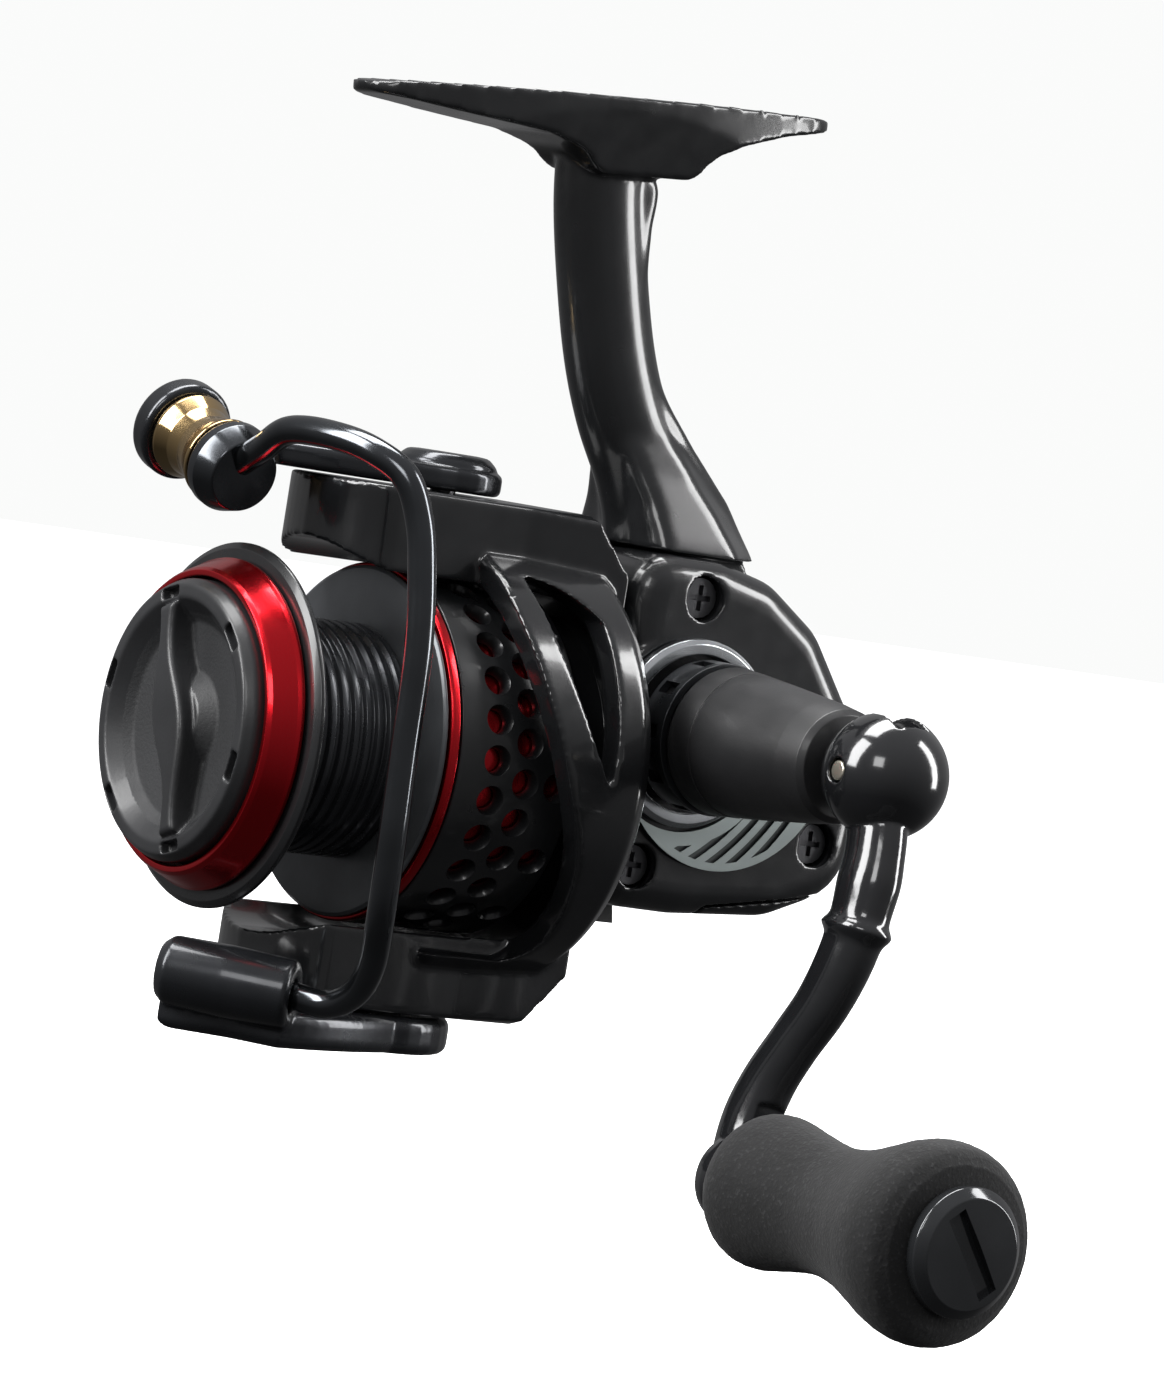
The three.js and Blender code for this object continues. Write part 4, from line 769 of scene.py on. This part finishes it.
# ---- grip ----
GRIP = [
    (1.9, 2.4), (4.6, 2.4), (7.4, 3.4), (8.9, 5.4), (9.23, 7.5), (8.7, 11), (7.9, 16), (7.7, 20),
    (8.5, 25.5), (10.2, 31), (11.5, 35), (11.9, 37.8), (11.3, 40.4), (9.6, 41.8), (6.6, 41.8),
    (6.6, 38.6), (1.9, 38.6),
]
outer = [tuple(p)[:2] for p in spline([(r, x, 0) for r, x in GRIP[1:14]], 7)]
grip = lathe("x", [(r, ARM_X + x) for r, x in [GRIP[0]] + outer + GRIP[14:]], KNOB, 150, 0)
for v in grip.data.vertices:
    out = Vector((0, v.co.y - KNOB[1], v.co.z - KNOB[2]))
    if out.length > 7:
        v.co += out.normalized() * FOAM_BUMP * (noise.noise(v.co * FOAM_SCALE) - 0.6)
finish(grip, "foam_grip", "grip", "grip_foam", ["knob_grip"], 50)
cap = lathe("x", [
    (6.2, ARM_X + 39), (6.2, ARM_X + 42.1), (7.57, ARM_X + 42.1), (7.57, ARM_X + 43.6),
    (6.4, ARM_X + 44.6), (0, ARM_X + 44.9), (0, ARM_X + 42.4), (3.4, ARM_X + 42.4),
    (3.4, ARM_X + 39),
], KNOB, 128, 0.4)
slot_line = []
for a, b in ((-5.4, -1.3), (5.4, -1.3), (5.4, 1.3), (-5.4, 1.3)):
    t = 35 * RAD + math.pi / 2
    slot_line.append((KNOB[1] + a * math.cos(t) - b * math.sin(t),
                      KNOB[2] + a * math.sin(t) + b * math.cos(t)))
cut(cap, slab("x", slot_line, ARM_X + 43.8, ARM_X + 47))
finish(cap, "grip_cap", "grip", "cap_black", ["knob_cap"])


# ---- rotor ----
def curve(points, steps=10):
    """(y, z) points along quadratic arcs: start, then pairs of control and end."""
    out = [points[0]]
    for i in range(1, len(points) - 1, 2):
        a, c, b = (Vector(p) for p in (out[-1], points[i], points[i + 1]))
        for k in range(1, steps + 1):
            t = k / steps
            out.append(tuple(a * (1 - t) ** 2 + c * 2 * t * (1 - t) + b * t * t))
    return out


def front_cut():
    z = SPOOL_Z
    line = curve([(-12.4, z + 23.5), (-11.4, z + 15), (-8.8, z + 8), (-6, z), (-2.6, z - 7),
                  (-0.4, z - 12), (0.4, z - 18), (0.8, z - 22.8), (-3, z - 23.5)])
    return slab("x", [(-40, z + 23.5)] + line + [(-40, z - 23.5)], 4, 50)


def window_cut():
    z = SPOOL_Z
    line = curve([(-8.4, z + 23), (-6.6, z + 11), (0.4, z - 0.5), (1.2, z + 11), (0.9, z + 19),
                  (-3, z + 23), (-8.4, z + 23)])
    return slab("x", line[:-1], 4, 50)


def rotor_arm():
    front = PIVOT_Y - 19
    plan = [(-ARM_HALF - 2, 8.6), (-ARM_HALF, -6), (-ARM_HALF, PIVOT_Y - 13)]
    plan += curve([(-ARM_HALF, PIVOT_Y - 13), (-ARM_HALF + 1, front + 1), (0, front),
                   (ARM_HALF - 1, front + 1), (ARM_HALF, PIVOT_Y - 13)])[1:]
    plan += [(ARM_HALF, -6), (ARM_HALF + 2, 8.6)]
    shape = slab("z", plan, SPOOL_Z + 16, SPOOL_Z + ARM_R)
    slope = fillet([(-40, 0), (-40, 60), (3, 60), (3, ARM_R), (9.2, ARM_R - 7.5), (9.2, 0)], 5)
    meet(shape, slab("x", [(y, SPOOL_Z + z) for y, z in slope], -30, 30))
    return meet(shape, rod("y", ARM_R + 1.6, -40, 12, AXIS, 192))


def rotor_cage():
    band = lathe("y", [
        (CAGE_IN, -12.6), (CAGE_OUT - 0.6, -12.6), (CAGE_OUT, -12), (CAGE_OUT, 4.6),
        (CAGE_OUT - 1.2, 6.4), (CAGE_IN, 6.4),
    ], AXIS, 192, 0.4)
    front, window = front_cut(), window_cut()
    others = [opposite(front), opposite(window)]
    cut(band, front, window, *others)
    arm = rotor_arm()
    join(band, opposite(arm), arm)
    pocket = rod("z", 6, SPOOL_Z + ARM_R - 3.2, SPOOL_Z + ARM_R + 1, PIVOT)
    hole = rod("z", PIVOT_HOLE_R, SPOOL_Z + 20, SPOOL_Z + ARM_R + 1, PIVOT, 32)
    far = [opposite(pocket), opposite(hole)]
    cut(band, rod("y", CAGE_IN, -60, 12, AXIS, 192), pocket, hole, *far)
    return melt(band, 0.3, 7, 0.6)


finish(rotor_cage(), "rotor_shell", "rotor", "rotor_black", ["rotor_cage"], 0)
finish(lathe("y", [
    (3.8, -4.5), (HUB_R - 1, -4.5), (HUB_R, -3.5), (HUB_R, 5), (CAGE_IN - GAP, 5),
    (CAGE_IN - GAP, 6.6), (HUB_IN, 6.6), (HUB_IN, -2.6), (3.8, -2.6),
], AXIS), "rotor_drum", "rotor", "rotor_black", ["rotor_hub"])


# ---- bail ----
def arc(cx, cy, r, a, b, n=20):
    """Points round a circle, from a to b degrees."""
    turns = [(a + (b - a) * k / n) * RAD for k in range(n + 1)]
    return [(cx + r * math.cos(t), cy + r * math.sin(t)) for t in turns]


def bail_arm():
    y1 = ROLLER[1]
    plan = arc(0, PIVOT_Y, 7, 200, -20)
    plan += curve([plan[-1], (7, PIVOT_Y - 16), (-2, y1 + 3)])[1:]
    plan += [(-9, y1 - 3.4), (-14.6, y1 - 3.2), (-15, y1 + 3)]
    plan += curve([(-15, y1 + 3), (-10, PIVOT_Y - 14), (-6.6, PIVOT_Y - 2.4)])[1:]
    shape = slab("z", plan, TOP, TOP + 2.9, 0.8, 3)
    cheek = lathe(ROLLER_DIR, [
        (0, -8.8), (5.2, -8.6), (6.1, -7.4), (6.1, -4.6), (0, -4.6)], ROLLER, 96, 0.8)
    bridge = slab("z", fillet([(-15, y1 - 3), (-10.6, y1 - 3), (-10.6, y1 + 9), (-15, y1 + 9)], 1),
                  TOP - 1.2, TOP + 2.4)
    dome = lathe("z", [
        (0, TOP + 1), (6.4, TOP + 1), (6.2, TOP + 3.4), (5, TOP + 4.5), (0, TOP + 4.9),
    ], PIVOT, 96, 1.2)
    join(shape, bridge, cheek, dome)
    cut(shape, rod(ROLLER_DIR, 6.4, -4.6, 12, ROLLER, 64), rod(ROLLER_DIR, 1.3, -9, 9, ROLLER, 32),
        rod("z", PIVOT_HOLE_R, TOP - 3, TOP + 9, PIVOT, 32),
        rod("z", PIVOT_HEAD_R, TOP + 2.6, TOP + 9, PIVOT, 48))
    return melt(shape, 0.22, 4, 0.8)


def bail_wire():
    start = ROLLER + ROLLER_DIR * 6.4
    end = SOCKET + SOCKET_DIR * 7
    loop = tube([
        start, (6.5, -42.6, -48.2), (12.5, -43, -45.6), (20.5, -41.4, -45.4), (25.9, -39.4, -46.5),
        (29.4, -37, -48.8), (31, -35.3, -53.5), (31.9, -34.3, -60), (32.7, -33.8, -68),
        (32.9, -33.7, -80), (32.9, -33.4, -91), (31.6, -32.4, -100), *WIRE_END, end,
        SOCKET + SOCKET_DIR * 3,
    ], 1.7, 1.7, None, 10, 32)
    cone = lathe(ROLLER_DIR, [
        (0, 4.9), (5.3, 4.9), (5.5, 5.4), (5.5, 6.6), (4.4, 9.3), (0, 9.3)], ROLLER, 128, 0.35)
    return join(cone, loop)


def bail_lever():
    y1 = SOCKET[1]
    plan = arc(0, PIVOT_Y, 11, 200, -10)
    plan += curve([plan[-1], (15, PIVOT_Y - 12), (15.2, y1 + 5)])[1:]
    plan += [(9, y1 + 1.4), (3.6, y1 - 5)]
    plan += curve([(3.6, y1 - 5), (-6, PIVOT_Y - 16), (-10.3, PIVOT_Y - 3.8)])[1:]
    shape = slab("z", plan, LOW - 4.6, LOW, 1.3, 4)
    barrel = lathe(SOCKET_DIR, [
        (0, -8.4), (3.2, -8.2), (4.2, -7), (4.4, 0), (4.2, 8), (3.4, 8.4), (0, 8.4),
    ], SOCKET, 64, 0.8)
    join(shape, barrel)
    room = tube([SOCKET + SOCKET_DIR * 6, *WIRE_END[::-1]], 2.1, 2.1, None, 8, 24)
    cut(shape, rod(SOCKET_DIR, 2, 2.4, 9, SOCKET, 40),
        rod("z", PIVOT_HOLE_R, LOW - 9, LOW + 3, PIVOT, 32),
        rod("z", PIVOT_HEAD_R, LOW - 9, LOW - 2.6, PIVOT, 48), room)
    return melt(shape, 0.24, 4, 0.8)


finish(bail_arm(), "bail_arm_shell", "bail", "bail_arm_gunmetal", ["bail_arm"], 0)
finish(bail_wire(), "bail_loop", "bail", "bail_wire_gunmetal", ["bail_wire"], 30)
finish(bail_lever(), "bail_lever_shell", "bail", "bail_lever_black", ["bail_lever"], 0)
finish(lathe(ROLLER_DIR, [
    (1.3, -4.3), (5.3, -4.3), (5.3, -3.6), (4.5, -1.8), (4.2, 0.2), (4.5, 2), (5.2, 3.8),
    (5.2, 4.3), (1.3, 4.3),
], ROLLER, 128, 0.5), "roller", "roller", "roller_gold", ["line_roller"])
finish(lathe(ROLLER_DIR, [
    (0, -9.4), (1.9, -9.4), (1.9, -8.9), (1, -8.9), (1, 4.6), (0, 4.6),
], ROLLER, 48, 0.15), "roller_screw", "bail", "polished_steel", ["roller_pin"])


# ---- spool ----
def spool_skirt():
    y = SPOOL_BACK + 2.3
    shell = lathe("y", [
        (SKIRT_IN, y), (SKIRT_R, y), (SKIRT_R, SKIRT_END - 0.4), (SKIRT_R - 0.4, SKIRT_END),
        (SKIRT_IN, SKIRT_END)], AXIS, 224, 0.2)
    bm = bmesh.new()
    for at, lead, step in ((-12.8, -3, 1), (-8.3, 3.4, 1), (-3.7, 3.4, 2)):
        for i in range(0, HOLES, step):
            drill = lathe("x", [(0, SKIRT_IN - 1), (1.45, SKIRT_IN - 1), (1.5, SKIRT_R - 0.75),
                                (1.95, SKIRT_R + 0.1), (1.95, SKIRT_R + 1), (0, SKIRT_R + 1)],
                          (0, 0, 0), 28, 0)
            t = (lead + 360 * i / HOLES) * RAD
            drill.data.transform(Matrix.Translation((0, at, SPOOL_Z)) @ Matrix.Rotation(t, 4, "Y"))
            bm.from_mesh(drill.data)
            bpy.data.objects.remove(drill)
    mesh = bpy.data.meshes.new("drills")
    bm.to_mesh(mesh)
    bm.free()
    return cut(shell, wrap(mesh))


def arbor():
    pts = [(9, -37), (ARBOR_R, -37)]
    ribs = 9
    pitch = (SPOOL_BACK - SPOOL_FRONT - 1.8) / ribs
    for i in range(ribs):
        y = SPOOL_FRONT + 0.9 + (i + 0.5) * pitch
        pts += [(ARBOR_R, y - 0.5), (ARBOR_R - 0.55, y - 0.18),
                (ARBOR_R - 0.55, y + 0.18), (ARBOR_R, y + 0.5)]
    pts += [(ARBOR_R, SPOOL_BACK - GAP), (9, SPOOL_BACK - GAP), (9, -26), (1.8, -26),
            (1.8, -32), (9, -32)]
    return lathe("y", pts, AXIS, 160, 0.15, 3)


LIP_BACK = FLAT_T - GAP
TRIM_FRONT = SPOOL_BACK + 0.8
finish(spool_skirt(), "skirt_shell", "spool", "spool_black", ["spool_skirt"], 35)
finish(arbor(), "arbor_shell", "spool", "arbor_grey", ["spool_arbor"])
finish(lathe("y", [
    (9, FLAT_T), (19.6, FLAT_T), (21.2, FLAT_T + 0.1), (LIP_R, FLAT_T + 0.6),
    (LIP_R, FLAT_T + 1.1), (LIP_R - 0.6, SPOOL_FRONT), (9, SPOOL_FRONT),
], AXIS, 192), "flange_front", "spool", "spool_black", ["spool_front_flange"])
finish(lathe("y", [
    (17.4, LIP_BACK - 4.1), (18.1, LIP_BACK - 4.1), (18.5, LIP_BACK - 3.6),
    (19.75, LIP_BACK - 0.9), (20, LIP_BACK - 0.5), (20, LIP_BACK), (17.4, LIP_BACK),
], AXIS, 192, 0.2), "lip_ring", "spool", "anodised_red", ["spool_lip_ring"])
finish(lathe("y", [
    (9, SPOOL_BACK), (LIP_R - 1, SPOOL_BACK), (LIP_R - 0.55, SPOOL_BACK + 0.25),
    (LIP_R - 0.55, SPOOL_BACK + 0.5), (SKIRT_IN - GAP, SPOOL_BACK + 0.5),
    (SKIRT_IN - GAP, SPOOL_BACK + 2), (9, SPOOL_BACK + 2),
], AXIS, 192, 0.2), "flange_rear", "spool", "flange_grey", ["spool_rear_flange"])
finish(lathe("y", [
    (SKIRT_IN, TRIM_FRONT), (SKIRT_R - 0.2, TRIM_FRONT), (SKIRT_R, TRIM_FRONT + 0.3),
    (SKIRT_R, TRIM_FRONT + 1.2), (SKIRT_IN, TRIM_FRONT + 1.2),
], AXIS, 192, 0.15), "trim_line", "spool", "anodised_red", ["skirt_trim_ring"])
finish(lathe("y", [
    (SKIRT_IN - 1, -17.8), (SKIRT_IN - GAP, -17.8), (SKIRT_IN - GAP, SKIRT_END - 1),
    (SKIRT_IN - 1, SKIRT_END - 1),
], AXIS, 192), "drum_liner", "spool", "anodised_red", ["drum_sleeve"])


# ---- drag knob ----
def drag_knob():
    front = FLAT_T - 5.6
    body = lathe("y", [
        (0, front + 0.4), (4, front + 0.4), (6, front + 2.2), (12, front + 1.6), (14.6, front - 1),
        (16.2, front - 0.9), (17, front + 0.4), (17, front + 3.4), (15.6, FLAT_T - 0.6),
        (8.4, FLAT_T - 0.6), (8.4, -36.4), (4.6, -36.4), (4.6, -41), (1.8, -41), (1.8, -43),
        (0, -43),
    ], AXIS, 160, 0.5)
    half = []
    for ends in (((-13.4, -4.6), (-7, -1.2), (-4, -3.4), (0, -3.2)),
                 ((0, -3.2), (5, -3), (8, 0.6), (13.8, 1.4))):
        for k in range(12):
            t = k / 12
            s = 1 - t
            half.append(tuple(s ** 3 * a + 3 * s * s * t * b + 3 * s * t * t * c + t ** 3 * d
                              for a, b, c, d in zip(*ends)))
    half.append((13.8, 1.4))
    line = half + [(-z, -x) for z, x in half]
    ridge = slab("y", line, front - 1.6, front + 2.6, 0.7, 4)
    seat = Matrix.Translation((0, 0, SPOOL_Z))
    ridge.data.transform(seat @ Matrix.Rotation(-28 * RAD, 4, "Y"))
    slots = []
    for i in range(6):
        slot = block(14.7, 16, front - 3, front + 0.5, -1.8, 1.8)
        slot.data.transform(seat @ Matrix.Rotation((14 + 60 * i) * RAD, 4, "Y"))
        slots.append(slot)
    cut(join(body, ridge), *slots, rod("y", 1.8, -43, -36, AXIS, 32))
    return melt(body, 0.2, 4, 0.8)


knob = finish(drag_knob(), "drag_dial", "drag", "drag_knob_black", ["drag_knob"], 0,
              [MATERIALS["drag_knob_black"], MATERIALS["drag_face_matte"]])
for face in knob.data.polygons:
    c = face.center
    r = math.hypot(c.x, c.z - SPOOL_Z * MM) / MM
    if r < DIAL_FACE_R and c.y / MM > FLAT_T - 5.0:
        face.material_index = 1


# ---- stage ----
def stage_material(name, value):
    m = bpy.data.materials.new(name)
    m.use_nodes = True
    inputs = m.node_tree.nodes["Principled BSDF"].inputs
    inputs["Base Color"].default_value = (value, value, value, 1)
    inputs["Roughness"].default_value = 0.9
    inputs["Emission Color"].default_value = (1, 1, 1, 1)
    inputs["Emission Strength"].default_value = 1.0
    return m


def area_light(name, at, to, size, power, tint=(1, 1, 1)):
    light = bpy.data.lights.new(name, "AREA")
    light.shape = "RECTANGLE"
    light.size, light.size_y = size
    light.energy = power
    light.color = tint
    obj = wrap(light, name)
    obj.location = at
    obj.rotation_mode = "QUATERNION"
    obj.rotation_quaternion = (Vector(to) - Vector(at)).to_track_quat("-Z", "Y")
    return obj


floor_z = CAD_BOX[0].z - 0.012
bm = bmesh.new()
bmesh.ops.create_grid(bm, x_segments=2, y_segments=2, size=3)
mesh = bpy.data.meshes.new("floor")
bm.to_mesh(mesh)
bm.free()
floor = wrap(mesh, "floor")
floor.location = (0, 0, floor_z)
floor.data.materials.append(stage_material("paper", 0.9))
floor.visible_glossy = False
floor.visible_diffuse = False

CENTRE = (0.01, 0, -0.07)
RIGHT = Vector((0.567, 0.809, 0.157))
UP = Vector((-0.123, -0.106, 0.987))
BACK = Vector((0.815, -0.579, 0.040))
target = Vector(CENTRE)
area_light("key", target - RIGHT * 0.5 + UP * 0.45 + BACK * 0.25, CENTRE, (0.3, 0.6), 7)
area_light("side", target + RIGHT * 0.65 + UP * 0.15 - BACK * 0.05, CENTRE, (0.16, 0.7), 4)
area_light("top", target + UP * 0.7 - BACK * 0.1, CENTRE, (0.6, 0.3), 7)
area_light("front", target + BACK * 0.75 + UP * 0.35 - RIGHT * 0.15, CENTRE, (0.25, 0.25), 1.2)

world = bpy.data.worlds.new("studio")
bpy.context.scene.world = world
world.use_nodes = True
tree = world.node_tree
ground = tree.nodes["Background"]
where = tree.nodes.new("ShaderNodeTexCoord")
split = tree.nodes.new("ShaderNodeSeparateXYZ")
tree.links.new(where.outputs["Generated"], split.inputs["Vector"])
fade = tree.nodes.new("ShaderNodeValToRGB")
for stop, (at, value) in zip([0, 1], ((0.2, 0.04), (0.95, 0.4))):
    fade.color_ramp.elements[stop].position = at
    fade.color_ramp.elements[stop].color = (value, value, value * 1.02, 1)
shift = tree.nodes.new("ShaderNodeMapRange")
shift.inputs["From Min"].default_value = -1
tree.links.new(split.outputs["Z"], shift.inputs["Value"])
tree.links.new(shift.outputs["Result"], fade.inputs["Fac"])
tree.links.new(fade.outputs["Color"], ground.inputs["Color"])
pale = tree.nodes.new("ShaderNodeBackground")
pale.inputs["Color"].default_value = (0.96, 0.965, 0.96, 1)
rays = tree.nodes.new("ShaderNodeLightPath")
pick = tree.nodes.new("ShaderNodeMixShader")
tree.links.new(rays.outputs["Is Camera Ray"], pick.inputs["Fac"])
tree.links.new(ground.outputs["Background"], pick.inputs[1])
tree.links.new(pale.outputs["Background"], pick.inputs[2])
tree.links.new(pick.outputs["Shader"], tree.nodes["World Output"].inputs["Surface"])

camera = bpy.data.cameras.new("camera")
camera.sensor_width = 36
camera.lens = 158.8
camera.clip_start, camera.clip_end = 0.05, 20
eye = wrap(camera, "camera")
eye.matrix_world = Matrix((
    (RIGHT.x, UP.x, BACK.x, 0.6255), (RIGHT.y, UP.y, BACK.y, -0.4307),
    (RIGHT.z, UP.z, BACK.z, -0.0428), (0, 0, 0, 1)))
bpy.context.scene.camera = eye
bpy.context.scene.view_settings.view_transform = "Standard"
